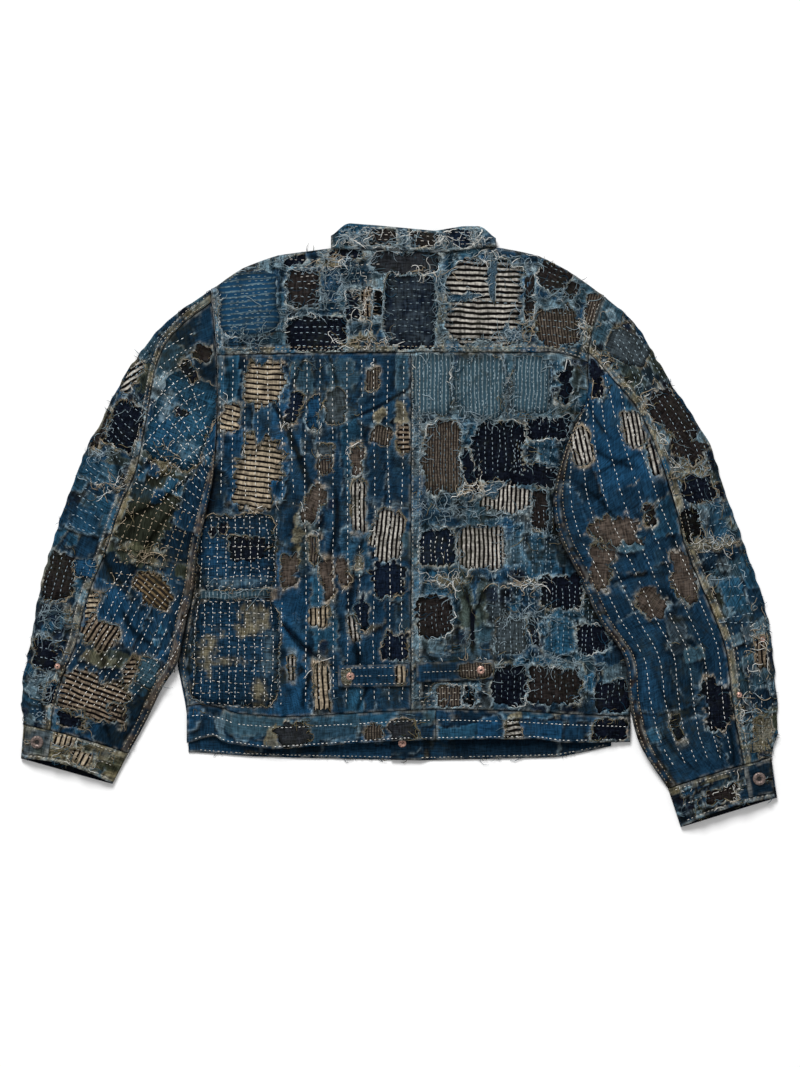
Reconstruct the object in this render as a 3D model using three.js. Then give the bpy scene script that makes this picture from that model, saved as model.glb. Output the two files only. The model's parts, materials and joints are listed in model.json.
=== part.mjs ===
// Patched boro work jacket, laid flat with its back up.
// Millimetres: +X to the right of the back, +Y towards the collar, +Z up from the surface it lies on.
import * as THREE from "three";

// Cloth and seams
const CLOTH = 2; // layered, stitched cloth
const BAND = 2.5; // waistband, cuffs and cinch straps, two layers stitched together
const PATCH = 1; // a sewn-on patch
const SEAM_GAP = 0.3; // between pieces that meet at a seam
const ON_PANEL_GAP = 1; // under what lies on a panel, clear of the panel's facets
const LAID_EDGE = 2 * CLOTH + SEAM_GAP; // height of a front and a back lying on each other

// How far the upper layers stand off the lower ones
const BODY_LOFT = 8;
const BODY_RISE = 70; // width over which the back rises from its sides to the full loft
const SHOULDER_RISE = 55;
const NECK_LOFT = 0.6; // share of the loft kept at the open neck
const HEM_LOFT = 0.75; // share of the loft kept at the open hem
const HEM_FALL = 90; // height over which the loft comes down to the hem
const SLEEVE_ON_BODY = LAID_EDGE + 1; // height of a sleeve's lower layer where it lies on the body
const SLEEVE_CLEAR = 20; // how far past the body's edge a sleeve stays up
const SLEEVE_STEP = 58; // how far past the body's edge it has come down to the surface
const SLEEVE_LAP = { start: 75, full: 30 }; // above the foot of the armhole, where it begins to lie on the body
const SLEEVE_FOOT = { low: -345, high: -310 }; // below the hem, where it has left the body
const FOLD_BULGE = 1.6; // round of a sleeve's outer fold

// Seams across the back
const CENTRE_BACK = 15;
const CENTRE_FRONT = { overlapFrom: -10, overlapTo: 22, clear: 2, step: 18, facing: 150 };
const FRONT_BAND_END = { left: -263, right: 265 };
const FRONT_FOOT = -238;
const WAISTBAND_JOIN = 46; // the join shows as a row of stitches across the band
const YOKE_FOOT = { left: 212, right: 203 };
const NECK = { left: -83, right: 121, seam: 348, rise: 40 };

const ARMHOLE = {
  left: { topX: -235, topY: 293, footX: -230, footY: 82, bow: 6 },
  right: { topX: 256, topY: 285, footX: 240, footY: 152, bow: -11 },
};
const SIDE_SEAM = {
  left: [
    { y: -284, x: -255 },
    { y: -252, x: -264 },
    { y: -228, x: -266 },
    { y: -174, x: -277 },
    { y: -84, x: -262 },
    { y: 50, x: -254 },
    { y: 82, x: -230 },
  ],
  right: [
    { y: -271, x: 284 },
    { y: -238, x: 289 },
    { y: 106, x: 286 },
    { y: 125, x: 264 },
    { y: 152, x: 240 },
  ],
};
const SHOULDER_LINE = [
  { x: -235, y: 293 },
  { x: -212, y: 310 },
  { x: -195, y: 321 },
  { x: -180, y: 327 },
  { x: -151, y: 337 },
  { x: NECK.left, y: NECK.seam - 2 },
  { x: -60, y: NECK.seam },
  { x: 100, y: NECK.seam },
  { x: NECK.right, y: NECK.seam - 1 },
  { x: 150, y: 342 },
  { x: 175, y: 336 },
  { x: 209, y: 319 },
  { x: 237, y: 300 },
  { x: 256, y: 285 },
];
const YOKE_SEAM = [
  { x: -235, y: 212 },
  { x: -86, y: 215 },
  { x: 197, y: 215 },
  { x: 215, y: 211 },
  { x: 240, y: 202 },
];
const WAIST_SEAM = [
  { x: -280, y: -228 },
  { x: -246, y: -224 },
  { x: -221, y: -228 },
  { x: -206, y: -235 },
  { x: -146, y: -240 },
  { x: 1, y: -232 },
  { x: 48, y: -230 },
  { x: 141, y: -232 },
  { x: 209, y: -236 },
  { x: 290, y: -239 },
];
const BACK_HEM = [
  { x: -261, y: -272 },
  { x: -229, y: -264 },
  { x: -219, y: -272 },
  { x: -182, y: -277 },
  { x: -159, y: -280 },
  { x: 1, y: -269 },
  { x: 141, y: -267 },
  { x: 174, y: -267 },
  { x: 204, y: -272 },
  { x: 285, y: -271 },
];
const FRONT_HEM = [
  { x: -255, y: -284 },
  { x: -186, y: -289 },
  { x: -124, y: -291 },
  { x: 26, y: -294 },
  { x: 170, y: -291 },
  { x: 199, y: -290 },
  { x: 240, y: -282 },
  { x: 265, y: -276 },
];
// The part of the back that no sleeve lies on
const OPEN_BACK = [
  { y: -290, left: -262, right: 287 },
  { y: -219, left: -268, right: 287 },
  { y: -166, left: -276, right: 281 },
  { y: -119, left: -264, right: 250 },
  { y: -59, left: -254, right: 222 },
  { y: -16, left: -248, right: 200 },
  { y: 29, left: -238, right: 192 },
  { y: 79, left: -230, right: 202 },
  { y: 126, left: -229, right: 221 },
  { y: 152, left: -228, right: 238 },
  { y: 210, left: -226, right: 234 },
  { y: 293, left: -235, right: 256 },
];
// The largest folds of the back, ridges (rise above 0) and troughs
const BACK_FOLDS = [
  { x1: -142, y1: 169, x2: -105, y2: 44, rise: -2.2, spread: 13 },
  { x1: -161, y1: -87, x2: -92, y2: -169, rise: -2.6, spread: 12 },
  { x1: 82, y1: -75, x2: 116, y2: -156, rise: 2.6, spread: 13 },
  { x1: -240, y1: -82, x2: -149, y2: -80, rise: 2, spread: 12 },
  { x1: -195, y1: 312, x2: -195, y2: 237, rise: -2, spread: 11 },
  { x1: 150, y1: -20, x2: 205, y2: -120, rise: 2.2, spread: 14 },
];

// Sleeves, a row for each section from the armhole to the cuff: its edge next to the body, its
// outer edge, its bow, its loft, and how far across the over-arm seam lies
const SLEEVE = {
  left: [
    { inX: -230, inY: 82, outX: -235, outY: 293, bow: 6, loft: 0.5, seam: 0.94 },
    { inX: -232, inY: 60, outX: -301, outY: 244, bow: 3, loft: 6, seam: 0.9 },
    { inX: -236, inY: 36, outX: -345, outY: 183, bow: 0, loft: 9, seam: 0.72 },
    { inX: -244, inY: 0, outX: -378, outY: 120, bow: 0, loft: 10, seam: 0.62 },
    { inX: -252, inY: -39, outX: -404, outY: 62, bow: 0, loft: 10, seam: 0.63 },
    { inX: -256, inY: -79, outX: -427, outY: -8, bow: 0, loft: 10, seam: 0.65 },
    { inX: -266, inY: -122, outX: -447, outY: -72, bow: 0, loft: 10, seam: 0.68 },
    { inX: -276, inY: -170, outX: -459, outY: -138, bow: 0, loft: 10, seam: 0.7 },
    { inX: -296, inY: -204, outX: -469, outY: -187, bow: 0, loft: 9, seam: 0.73 },
    { inX: -316, inY: -245, outX: -471, outY: -222, bow: 0, loft: 9, seam: 0.75 },
    { inX: -338, inY: -285, outX: -469, outY: -249, bow: 3, loft: 8, seam: 0.75 },
  ],
  right: [
    { inX: 240, inY: 152, outX: 256, outY: 285, bow: 11, loft: 0.5, seam: 0.47 },
    { inX: 221, inY: 126, outX: 301, outY: 244, bow: 4, loft: 6, seam: 0.53 },
    { inX: 202, inY: 79, outX: 337, outY: 182, bow: 0, loft: 9, seam: 0.69 },
    { inX: 192, inY: 29, outX: 380, outY: 117, bow: 0, loft: 11, seam: 0.7 },
    { inX: 200, inY: -16, outX: 407, outY: 44, bow: 0, loft: 11, seam: 0.7 },
    { inX: 222, inY: -59, outX: 429, outY: -22, bow: 0, loft: 11, seam: 0.67 },
    { inX: 250, inY: -119, outX: 456, outY: -97, bow: 0, loft: 10, seam: 0.68 },
    { inX: 281, inY: -166, outX: 466, outY: -150, bow: 0, loft: 10, seam: 0.69 },
    { inX: 287, inY: -219, outX: 472, outY: -217, bow: 0, loft: 9, seam: 0.7 },
    { inX: 301, inY: -274, outX: 472, outY: -257, bow: 0, loft: 9, seam: 0.72 },
    { inX: 336, inY: -329, outX: 465, outY: -290, bow: 2, loft: 8, seam: 0.74 },
  ],
};
const SLEEVE_SIDE = { left: -1, right: 1 };

// Cuffs: corners of the hem, how far the upper layer draws back from it, and the buttoned end
const CUFF_LOFT = 8;
const CUFF_WIDTH = { left: 125, right: 130 };
const CUFF = {
  left: { inX: -358, inY: -323, outX: -472, outY: -291, drawn: 8 },
  right: { inX: 352, inY: -377, outX: 472, outY: -340, drawn: 6 },
};
const CUFF_END = { from: 0.72, to: 0.985, top: 0.05, foot: 0.86 };
const BUTTON_ON_END = { across: 0.85, down: 0.44 };

// Collar, a row for each place along it: its free edge, its top fold and how high the neck stands
const COLLAR = [
  { x: -85, edge: 345, fold: 360, lift: 0.5 },
  { x: -66, edge: 344, fold: 377, lift: 2.5 },
  { x: -28, edge: 343, fold: 374, lift: 4.4 },
  { x: 14, edge: 341, fold: 370, lift: 5 },
  { x: 45, edge: 339, fold: 367, lift: 5 },
  { x: 80, edge: 343, fold: 373, lift: 4.4 },
  { x: 104, edge: 346, fold: 373, lift: 2.5 },
  { x: 121, edge: 347, fold: 357, lift: 0.5 },
];

// Straps of the cinch: middle, size and slope
const CINCH = {
  left: { x: -31, y: -188, width: 90, depth: 28, slope: 0.02 },
  right: { x: 70, y: -182, width: 97, depth: 25, slope: 0.04 },
};

// Metal
const BUTTON = { radius: 8, height: 4, hole: 2.6, rim: 1.5 };
const RIVET = { radius: 5.2, height: 2, across: 0.33 };
const SMALL_RIVET = { radius: 3.6, height: 1.6 };
const HEM_TACK = { x: 4, y: -272.5, radius: 5, height: 1.2 };
const METAL_LIFT = 0.9; // clears the curve of the cloth under a flat-bottomed fitting

// Sewn-on patches of the back and yoke: middle, size and turn in degrees
const BACK_PATCHES = [
  { name: "yoke_ribbed", x: -187, y: 271, width: 64, depth: 66, turn: 4 },
  { name: "yoke_dark_upper", x: -119, y: 296, width: 36, depth: 46, turn: 0 },
  { name: "yoke_dark_lower", x: -101, y: 238, width: 64, depth: 40, turn: 2 },
  { name: "yoke_navy", x: 14, y: 266, width: 58, depth: 80, turn: 0 },
  { name: "yoke_stripe", x: 109, y: 277, width: 94, depth: 98, turn: -2 },
  { name: "yoke_brown", x: 198, y: 247, width: 46, depth: 46, turn: 8 },
  { name: "back_stripe_upper", x: -169, y: 176, width: 52, depth: 60, turn: 0 },
  { name: "back_stripe_lower", x: -176, y: 62, width: 54, depth: 86, turn: 6 },
  { name: "back_grid_upper", x: -196, y: -35, width: 88, depth: 86, turn: 2 },
  { name: "back_grid_lower", x: -203, y: -162, width: 84, depth: 114, turn: -2 },
  { name: "back_brown", x: 54, y: 86, width: 46, depth: 80, turn: 0 },
  { name: "back_navy", x: 124, y: 94, width: 58, depth: 70, turn: -2 },
  { name: "back_stripe_right", x: 134, y: 33, width: 56, depth: 40, turn: -10 },
  { name: "back_dark_low", x: 197, y: -198, width: 66, depth: 44, turn: 0 },
];
// Sewn-on patches of the sleeves: stretch along the sections and share of the way across
const SLEEVE_PATCHES = [
  { name: "sleeve_left_navy", side: "left", from: 2, to: 3, near: 0.76, far: 0.95 },
  { name: "sleeve_left_lattice", side: "left", from: 1, to: 2, near: 0.28, far: 0.62 },
  { name: "sleeve_left_brown", side: "left", from: 5.5, to: 6.5, near: 0.8, far: 0.96 },
  { name: "sleeve_right_brown", side: "right", from: 4, to: 5, near: 0.24, far: 0.52 },
  { name: "sleeve_right_dark", side: "right", from: 2, to: 3, near: 0.76, far: 0.95 },
];
// Small rivets of the sleeves, placed the same way
const SLEEVE_RIVETS = [
  { name: "rivet_sleeve_left", side: "left", along: 7.65, across: 0.78 },
  { name: "rivet_sleeve_right_upper", side: "right", along: 6.85, across: 0.95 },
  { name: "rivet_sleeve_right_lower", side: "right", along: 7.9, across: 0.75 },
];

// Facets of the panels, across and along
const STEPS = {
  back: { left: 11, right: 12, down: 18 },
  yoke: 5,
  front: { across: 4, down: 14 },
  frontBand: 9,
  sleeve: { under: 4, top: 2, perSection: 2 },
  cuff: { across: 8, down: 2 },
  cuffEnd: { across: 4, down: 3 },
  collar: 12,
  patch: 3,
  cinch: 4,
  rivet: 12,
  button: 16,
};

const FINISH = {
  indigo: { color: 0x2c4a63, roughness: 0.95, metalness: 0 },
  faded: { color: 0x56707f, roughness: 0.95, metalness: 0 },
  dark: { color: 0x232a35, roughness: 0.95, metalness: 0 },
  brown: { color: 0x4a4340, roughness: 0.95, metalness: 0 },
  stripe: { color: 0x7c756c, roughness: 0.95, metalness: 0 },
  copper: { color: 0x8a6a5c, roughness: 0.45, metalness: 1 },
};

const jacket = new THREE.Group();

function add(name, geometry, finish) {
  const material = new THREE.MeshStandardMaterial(FINISH[finish]);
  const mesh = new THREE.Mesh(geometry, material);
  mesh.name = name;
  jacket.add(mesh);
  return mesh;
}

// Numbers

const { clamp, lerp, degToRad } = THREE.MathUtils;

// 0 to 1 while a value goes from one end to the other, with soft ends
function ramp(from, to, value) {
  const share = clamp((value - from) / (to - from), 0, 1);
  return share * share * (3 - 2 * share);
}

// A column of a table at a place between its rows
function between(table, key, place, column) {
  const above = table.findIndex((row) => row[key] >= place);
  if (above === 0) return table[0][column];
  if (above < 0) return table[table.length - 1][column];
  const low = table[above - 1];
  const high = table[above];
  return lerp(low[column], high[column], (place - low[key]) / (high[key] - low[key]));
}

// A column on a smooth curve through evenly counted rows
function onCurve(rows, place, column) {
  const last = rows.length - 1;
  const start = clamp(Math.floor(place), 0, last - 1);
  const value = (row) => rows[clamp(row, 0, last)][column];
  const step = place - start;
  const [a, b] = [value(start), value(start + 1)];
  const leave = (b - value(start - 1)) / 2;
  const arrive = (value(start + 2) - a) / 2;
  const curve = 2 * (a - b) + leave + arrive;
  const bend = 3 * (b - a) - 2 * leave - arrive;
  return a + step * (leave + step * (bend + step * curve));
}

// Evenly spaced numbers, both ends included
function spaced(from, to, steps) {
  return Array.from({ length: steps + 1 }, (_, k) => lerp(from, to, k / steps));
}

// Walls

// A closed wall between two grids of points; a wall that wraps is a tube open at both ends
function wall(outer, inner, wraps = false) {
  const rows = outer.length;
  const columns = outer[0].length;
  const points = [...outer.flat(), ...inner.flat()];
  const out = (i, j) => i * columns + (j % columns);
  const back = (i, j) => rows * columns + out(i, j);
  const corners = [];
  const quad = (a, b, c, d) => corners.push(a, b, c, a, c, d);
  const acrossSteps = wraps ? columns : columns - 1;
  for (let j = 0; j < acrossSteps; j += 1) {
    for (let i = 0; i < rows - 1; i += 1) {
      quad(out(i, j), out(i, j + 1), out(i + 1, j + 1), out(i + 1, j));
      quad(back(i, j), back(i + 1, j), back(i + 1, j + 1), back(i, j + 1));
    }
    quad(out(0, j + 1), out(0, j), back(0, j), back(0, j + 1));
    quad(out(rows - 1, j), out(rows - 1, j + 1), back(rows - 1, j + 1), back(rows - 1, j));
  }
  for (let i = 0; i < rows - 1 && !wraps; i += 1) {
    const end = columns - 1;
    quad(out(i, 0), out(i + 1, 0), back(i + 1, 0), back(i, 0));
    quad(out(i + 1, end), out(i, end), back(i, end), back(i + 1, end));
  }
  return facingOut(points, corners);
}

function facingOut(points, corners) {
  let volume = 0;
  for (let k = 0; k < corners.length; k += 3) {
    const [a, b, c] = corners.slice(k, k + 3).map((corner) => points[corner]);
    volume += a.dot(b.clone().cross(c));
  }
  const geometry = new THREE.BufferGeometry().setFromPoints(points);
  geometry.setIndex(volume < 0 ? corners.reverse() : corners);
  geometry.computeVertexNormals();
  return geometry;
}

// A wall from a grid of places, with its upper face at a height and its thickness downwards
function layer(places, height, thickness) {
  const face = (drop) => places.map((row) => row.map(({ x, y }) => {
    return new THREE.Vector3(x, y, height(x, y) - drop);
  }));
  return wall(face(0), face(thickness));
}

// The form of the body

function bodyEdge(side, y) {
  const { topX, topY, footX, footY, bow } = ARMHOLE[side];
  if (y <= footY) return between(SIDE_SEAM[side], "y", y, "x");
  const share = Math.min((y - footY) / (topY - footY), 1);
  return lerp(footX, topX, share) + bow * 4 * share * (1 - share);
}

function folds(table, x, y) {
  let sum = 0;
  for (const { x1, y1, x2, y2, rise, spread } of table) {
    const run = new THREE.Vector2(x2 - x1, y2 - y1);
    const from = new THREE.Vector2(x - x1, y - y1);
    const share = from.dot(run) / run.lengthSq();
    const aside = from.cross(run) / run.length();
    const taper = ramp(-0.25, 0.15, share) * ramp(1.25, 0.85, share);
    sum += rise * taper * Math.exp(-((aside / spread) ** 2));
  }
  return sum;
}

function bodyTop(x, y) {
  const fromLeft = x - between(OPEN_BACK, "y", y, "left");
  const fromRight = between(OPEN_BACK, "y", y, "right") - x;
  const fromShoulder = between(SHOULDER_LINE, "x", x, "y") - y;
  const sides = ramp(0, BODY_RISE, fromLeft) * ramp(0, BODY_RISE, fromRight);
  const { left, right, rise } = NECK;
  const atNeck = NECK_LOFT * ramp(left, left + rise, x) * ramp(right, right - rise, x);
  const top = lerp(atNeck, 1, ramp(0, SHOULDER_RISE, fromShoulder));
  const hem = lerp(1, HEM_LOFT, ramp(FRONT_FOOT + HEM_FALL, FRONT_FOOT, y));
  return LAID_EDGE + sides * (BODY_LOFT * top * hem + folds(BACK_FOLDS, x, y));
}

// Yoke and back panels

// Places across one back panel, from its outer edge to the centre seam
function backColumns(side, level) {
  const seam = CENTRE_BACK + SLEEVE_SIDE[side] * SEAM_GAP / 2;
  return spaced(bodyEdge(side, level), seam, STEPS.back[side]);
}

// Places across both back panels, for the pieces sewn to them
function wholeBackColumns(leftLevel, rightLevel) {
  const left = backColumns("left", leftLevel).slice(0, -1);
  return [...left, ...backColumns("right", rightLevel).reverse()];
}

function addBack(side) {
  const rows = spaced(0, 1, STEPS.back.down);
  const places = rows.map((down) => {
    const level = lerp(YOKE_FOOT[side], FRONT_FOOT, down);
    return backColumns(side, level).map((x) => {
      const top = between(YOKE_SEAM, "x", x, "y");
      const foot = between(WAIST_SEAM, "x", x, "y") + SEAM_GAP;
      return { x, y: lerp(top, foot, down) };
    });
  });
  add(`back_${side}`, layer(places, bodyTop, CLOTH), "indigo");
}

function addYoke() {
  const footColumns = wholeBackColumns(YOKE_FOOT.left, YOKE_FOOT.right);
  const [footLeft, footRight] = [footColumns[0], footColumns[footColumns.length - 1]];
  const places = spaced(0, 1, STEPS.yoke).map((up) => footColumns.map((footX) => {
    const across = (footX - footLeft) / (footRight - footLeft);
    const topX = lerp(ARMHOLE.left.topX, ARMHOLE.right.topX, across);
    const topY = between(SHOULDER_LINE, "x", topX, "y");
    const y = lerp(between(YOKE_SEAM, "x", footX, "y") + SEAM_GAP, topY, up);
    const x = up === 0 ? footX : lerp(bodyEdge("left", y), bodyEdge("right", y), across);
    return { x, y };
  }));
  add("yoke", layer(places, bodyTop, CLOTH), "faded");
}

// The back's waistband, pieced with a join at one of the columns
function addWaistbandBack() {
  const columns = wholeBackColumns(FRONT_FOOT, FRONT_FOOT);
  const join = columns.findIndex((x) => x >= WAISTBAND_JOIN);
  const pieces = {
    left: [...columns.slice(0, join), columns[join] - SEAM_GAP / 2],
    right: [columns[join] + SEAM_GAP / 2, ...columns.slice(join + 1)],
  };
  const height = (x, y) => bodyTop(x, y) + 2 * (BAND - CLOTH);
  for (const side of ["left", "right"]) {
    const places = spaced(0, 1, 2).map((down) => pieces[side].map((x) => {
      const top = between(WAIST_SEAM, "x", x, "y");
      return { x, y: lerp(top, between(BACK_HEM, "x", x, "y"), down) };
    }));
    add(`waistband_back_${side}`, layer(places, height, BAND), "indigo");
  }
}

// Fronts, which lie on the surface; the right one steps up onto the left one at the centre

function frontLift(x, thickness) {
  const { overlapTo, step, clear } = CENTRE_FRONT;
  return (thickness + SEAM_GAP) * ramp(overlapTo + step, overlapTo + clear, x);
}

function frontColumns(side, edge) {
  const { overlapFrom, overlapTo, clear, step, facing } = CENTRE_FRONT;
  if (side === "left") return spaced(edge, overlapTo, STEPS.front.across);
  const flat = spaced(overlapTo + facing, overlapTo + step, 2);
  const rising = spaced(overlapTo + step * 0.72, overlapTo + clear, 2);
  return [edge, ...flat, ...rising, overlapFrom];
}

function addFront(side) {
  const lift = (x) => (side === "left" ? 0 : frontLift(x, CLOTH));
  const rows = spaced(0, 1, STEPS.front.down);
  const places = rows.map((down) => {
    const level = lerp(ARMHOLE[side].topY, FRONT_FOOT, down);
    return frontColumns(side, bodyEdge(side, level)).map((x) => ({
      x,
      y: lerp(between(SHOULDER_LINE, "x", x, "y"), FRONT_FOOT, down),
    }));
  });
  add(`front_${side}`, layer(places, (x) => lift(x) + CLOTH, CLOTH), "indigo");
}

function addWaistbandFront(side) {
  const edge = FRONT_BAND_END[side];
  const lift = (x) => (side === "left" ? 0 : frontLift(x, BAND));
  const whole = spaced(edge, CENTRE_FRONT.overlapTo, STEPS.frontBand);
  const columns = side === "left" ? whole : frontColumns(side, edge);
  const places = spaced(0, 1, 1).map((down) => columns.map((x) => {
    const foot = between(FRONT_HEM, "x", x, "y");
    return { x, y: lerp(FRONT_FOOT - SEAM_GAP, foot, down) };
  }));
  add(`waistband_front_${side}`, layer(places, (x) => lift(x) + BAND, BAND), "indigo");
}

// The form of the sleeves

function sleeveSection(side, along) {
  const column = (name) => onCurve(SLEEVE[side], along, name);
  const inner = new THREE.Vector2(column("inX"), column("inY"));
  const outer = new THREE.Vector2(column("outX"), column("outY"));
  const across = outer.clone().sub(inner);
  const width = across.length();
  across.normalize();
  const towardsBody = new THREE.Vector2(across.y, -across.x).multiplyScalar(-SLEEVE_SIDE[side]);
  const [bow, loft, seam] = ["bow", "loft", "seam"].map(column);
  return { inner, across, width, towardsBody, bow, loft, seam };
}

function sleevePlace(side, along, share) {
  const { inner, across, width, towardsBody, bow } = sleeveSection(side, along);
  const gap = 2 * SEAM_GAP * ramp(1, 0, along);
  const place = inner.clone().addScaledVector(across, share * (width - FOLD_BULGE));
  return place.addScaledVector(towardsBody, bow * 4 * share * (1 - share) - gap);
}

// Height of a sleeve's underside: the surface, or the body where the sleeve lies on it
function sleeveRest(side, { x, y }) {
  const insideBody = SLEEVE_SIDE[side] * (bodyEdge(side, y) - x);
  const { footY } = ARMHOLE[side];
  const belowArmhole = ramp(footY + SLEEVE_LAP.start, footY + SLEEVE_LAP.full, y);
  const aboveHem = ramp(SLEEVE_FOOT.low, SLEEVE_FOOT.high, y);
  return SLEEVE_ON_BODY * ramp(-SLEEVE_STEP, -SLEEVE_CLEAR, insideBody) * belowArmhole * aboveHem;
}

function sleeveTop(side, along, share) {
  const { loft } = sleeveSection(side, along);
  const rest = sleeveRest(side, sleevePlace(side, along, share));
  return rest + LAID_EDGE + loft * (1 - Math.abs(2 * share - 1) ** 3);
}

function sleevePoint(side, along, share, height) {
  const { x, y } = sleevePlace(side, along, share);
  return new THREE.Vector3(x, y, height);
}

const LAST_SECTION = SLEEVE.left.length - 1;
const SLEEVE_ROWS = spaced(0, LAST_SECTION, STEPS.sleeve.perSection * LAST_SECTION);

// Shares of the way across a section, on the under piece and on the top piece
function sleeveShares(side, along) {
  const { seam, width } = sleeveSection(side, along);
  const gap = SEAM_GAP / width;
  const { under, top } = STEPS.sleeve;
  return { under: spaced(0, seam - gap, under), top: spaced(seam + gap, 1, top) };
}

// The under piece, from the seam next to the body to the over-arm seam
function addSleeveUnder(side) {
  const face = (drop) => SLEEVE_ROWS.map((along) => sleeveShares(side, along).under.map((share) => {
    return sleevePoint(side, along, share, sleeveTop(side, along, share) - drop);
  }));
  add(`sleeve_${side}_under`, wall(face(0), face(CLOTH)), "indigo");
}

// The top piece, from the over-arm seam round the outer fold and back below to the body
function addSleeveTop(side) {
  const rows = (inside) => SLEEVE_ROWS.map((along) => {
    const { across } = sleeveSection(side, along);
    const { under, top } = sleeveShares(side, along);
    const above = top.map((share) => {
      return sleevePoint(side, along, share, sleeveTop(side, along, share) - (inside ? CLOTH : 0));
    });
    const below = [...under, ...top].reverse().map((share) => {
      const rest = sleeveRest(side, sleevePlace(side, along, share));
      return sleevePoint(side, along, share, rest + (inside ? CLOTH : 0));
    });
    const fold = above[above.length - 1].clone().add(below[0]).multiplyScalar(0.5);
    const bulge = inside ? SEAM_GAP : FOLD_BULGE;
    fold.x += across.x * bulge;
    fold.y += across.y * bulge;
    return [...above, fold, ...below];
  });
  add(`sleeve_${side}_top`, wall(rows(false), rows(true)), "indigo");
}

// Cuffs: flattened tubes whose upper layer draws back from the lower one at the hem

function cuffSection(side, down) {
  const { inner, across, width } = sleeveSection(side, LAST_SECTION);
  const outer = inner.clone().addScaledVector(across, width);
  const hem = CUFF[side];
  const nearest = inner.clone().lerp(new THREE.Vector2(hem.inX, hem.inY), down);
  const farthest = outer.clone().lerp(new THREE.Vector2(hem.outX, hem.outY), down);
  const downwards = new THREE.Vector2(hem.inX + hem.outX, hem.inY + hem.outY).multiplyScalar(0.5);
  downwards.sub(inner.clone().add(outer).multiplyScalar(0.5)).normalize();
  return { nearest, farthest, downwards };
}

function cuffTop(share) {
  return 2 * BAND + SEAM_GAP + CUFF_LOFT * (1 - Math.abs(2 * share - 1) ** 3);
}

function cuffPlace(side, down, share, upper) {
  const { nearest, farthest, downwards } = cuffSection(side, down);
  const bowed = 4 * share * (1 - share);
  const { bow } = SLEEVE[side][LAST_SECTION];
  const drawn = upper ? CUFF[side].drawn * bowed * down : 0;
  const place = nearest.clone().lerp(farthest, share);
  return place.addScaledVector(downwards, 2 * SEAM_GAP - drawn - (1 - down) * bow * bowed);
}

function addCuff(side) {
  const steps = STEPS.cuff.across;
  const rows = (skin) => spaced(0, 1, STEPS.cuff.down).map((down) => {
    const inside = skin === "inner";
    const inset = inside ? BAND : 0;
    const width = CUFF_WIDTH[side];
    const near = inset / width;
    const point = (share, upper, height) => {
      const { x, y } = cuffPlace(side, down, share, upper);
      return new THREE.Vector3(x, y, height);
    };
    const middle = BAND + SEAM_GAP / 2;
    const above = spaced(near + BAND / width, 1 - near - BAND / width, steps).map((share) => {
      return point(share, true, cuffTop(share) - inset);
    });
    const below = spaced(1 - near - BAND / width, near + BAND / width, steps).map((share) => {
      return point(share, false, inset);
    });
    const outerFold = point(1 - near, false, middle + CLOTH);
    const innerFold = point(near, false, middle + CLOTH);
    return [...above, outerFold, ...below, innerFold];
  });
  add(`cuff_${side}`, wall(rows("outer"), rows("inner"), true), "indigo");
}

function addCuffEnd(side) {
  const { from, to, top, foot } = CUFF_END;
  const shares = spaced(from, to, STEPS.cuffEnd.across);
  const face = (lift) => spaced(top, foot, STEPS.cuffEnd.down).map((down) => shares.map((share) => {
    const { x, y } = cuffPlace(side, down, share, true);
    return new THREE.Vector3(x, y, cuffTop(share) + SEAM_GAP + lift);
  }));
  add(`cuff_${side}_end`, wall(face(CLOTH), face(0)), "indigo");
}

// Collar: a fall folded over a stand, and the plain front halves below it

function collarRow(x) {
  const column = (name) => between(COLLAR, "x", x, name);
  return { edge: column("edge"), fold: column("fold"), lift: column("lift") };
}

function addCollarBack() {
  const columns = spaced(COLLAR[0].x, COLLAR[COLLAR.length - 1].x, STEPS.collar);
  const stand = CLOTH + 2 * SEAM_GAP;
  const path = (skin) => columns.map((x) => {
    const { edge, fold, lift } = collarRow(x);
    const foot = between(SHOULDER_LINE, "x", x, "y") + SEAM_GAP;
    const low = CLOTH + SEAM_GAP + lift;
    const high = low + CLOTH + stand;
    const inside = skin === "inner";
    const wallOf = inside ? CLOTH : 0;
    const middle = (foot + fold) / 2;
    const neckTop = bodyTop(x, edge) + ON_PANEL_GAP + CLOTH;
    const fall = Math.max(neckTop, high);
    return [
      new THREE.Vector3(x, edge, fall - wallOf),
      new THREE.Vector3(x, foot, fall - wallOf + SEAM_GAP),
      new THREE.Vector3(x, middle, high + 2 * SEAM_GAP - wallOf),
      new THREE.Vector3(x, fold - CLOTH, high - wallOf),
      new THREE.Vector3(x, fold - wallOf, (low + high) / 2),
      new THREE.Vector3(x, fold - CLOTH, low + wallOf),
      new THREE.Vector3(x, middle, low + wallOf),
      new THREE.Vector3(x, foot, low + wallOf),
    ];
  });
  add("collar_back", wall(path("outer"), path("inner")), "faded");
}

function addCollarFront(side) {
  const inward = NECK[side];
  const centre = side === "left" ? CENTRE_FRONT.overlapFrom : CENTRE_FRONT.overlapTo + CENTRE_FRONT.step;
  const columns = spaced(inward, centre, STEPS.front.across);
  const places = spaced(0, 1, 1).map((up) => columns.map((x) => {
    const foot = between(SHOULDER_LINE, "x", x, "y") + SEAM_GAP;
    return { x, y: lerp(foot, collarRow(x).fold - CLOTH, up) };
  }));
  add(`collar_front_${side}`, layer(places, () => CLOTH, CLOTH), "faded");
}

// What lies on a panel: grids of points on it, moved out

function onBack({ x, y, width, depth, slope = 0, turn = 0 }, across, down) {
  const angle = degToRad(turn) + slope;
  const [u, v] = [across * width, down * depth];
  return {
    x: x + u * Math.cos(angle) - v * Math.sin(angle),
    y: y + u * Math.sin(angle) + v * Math.cos(angle),
  };
}

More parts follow.
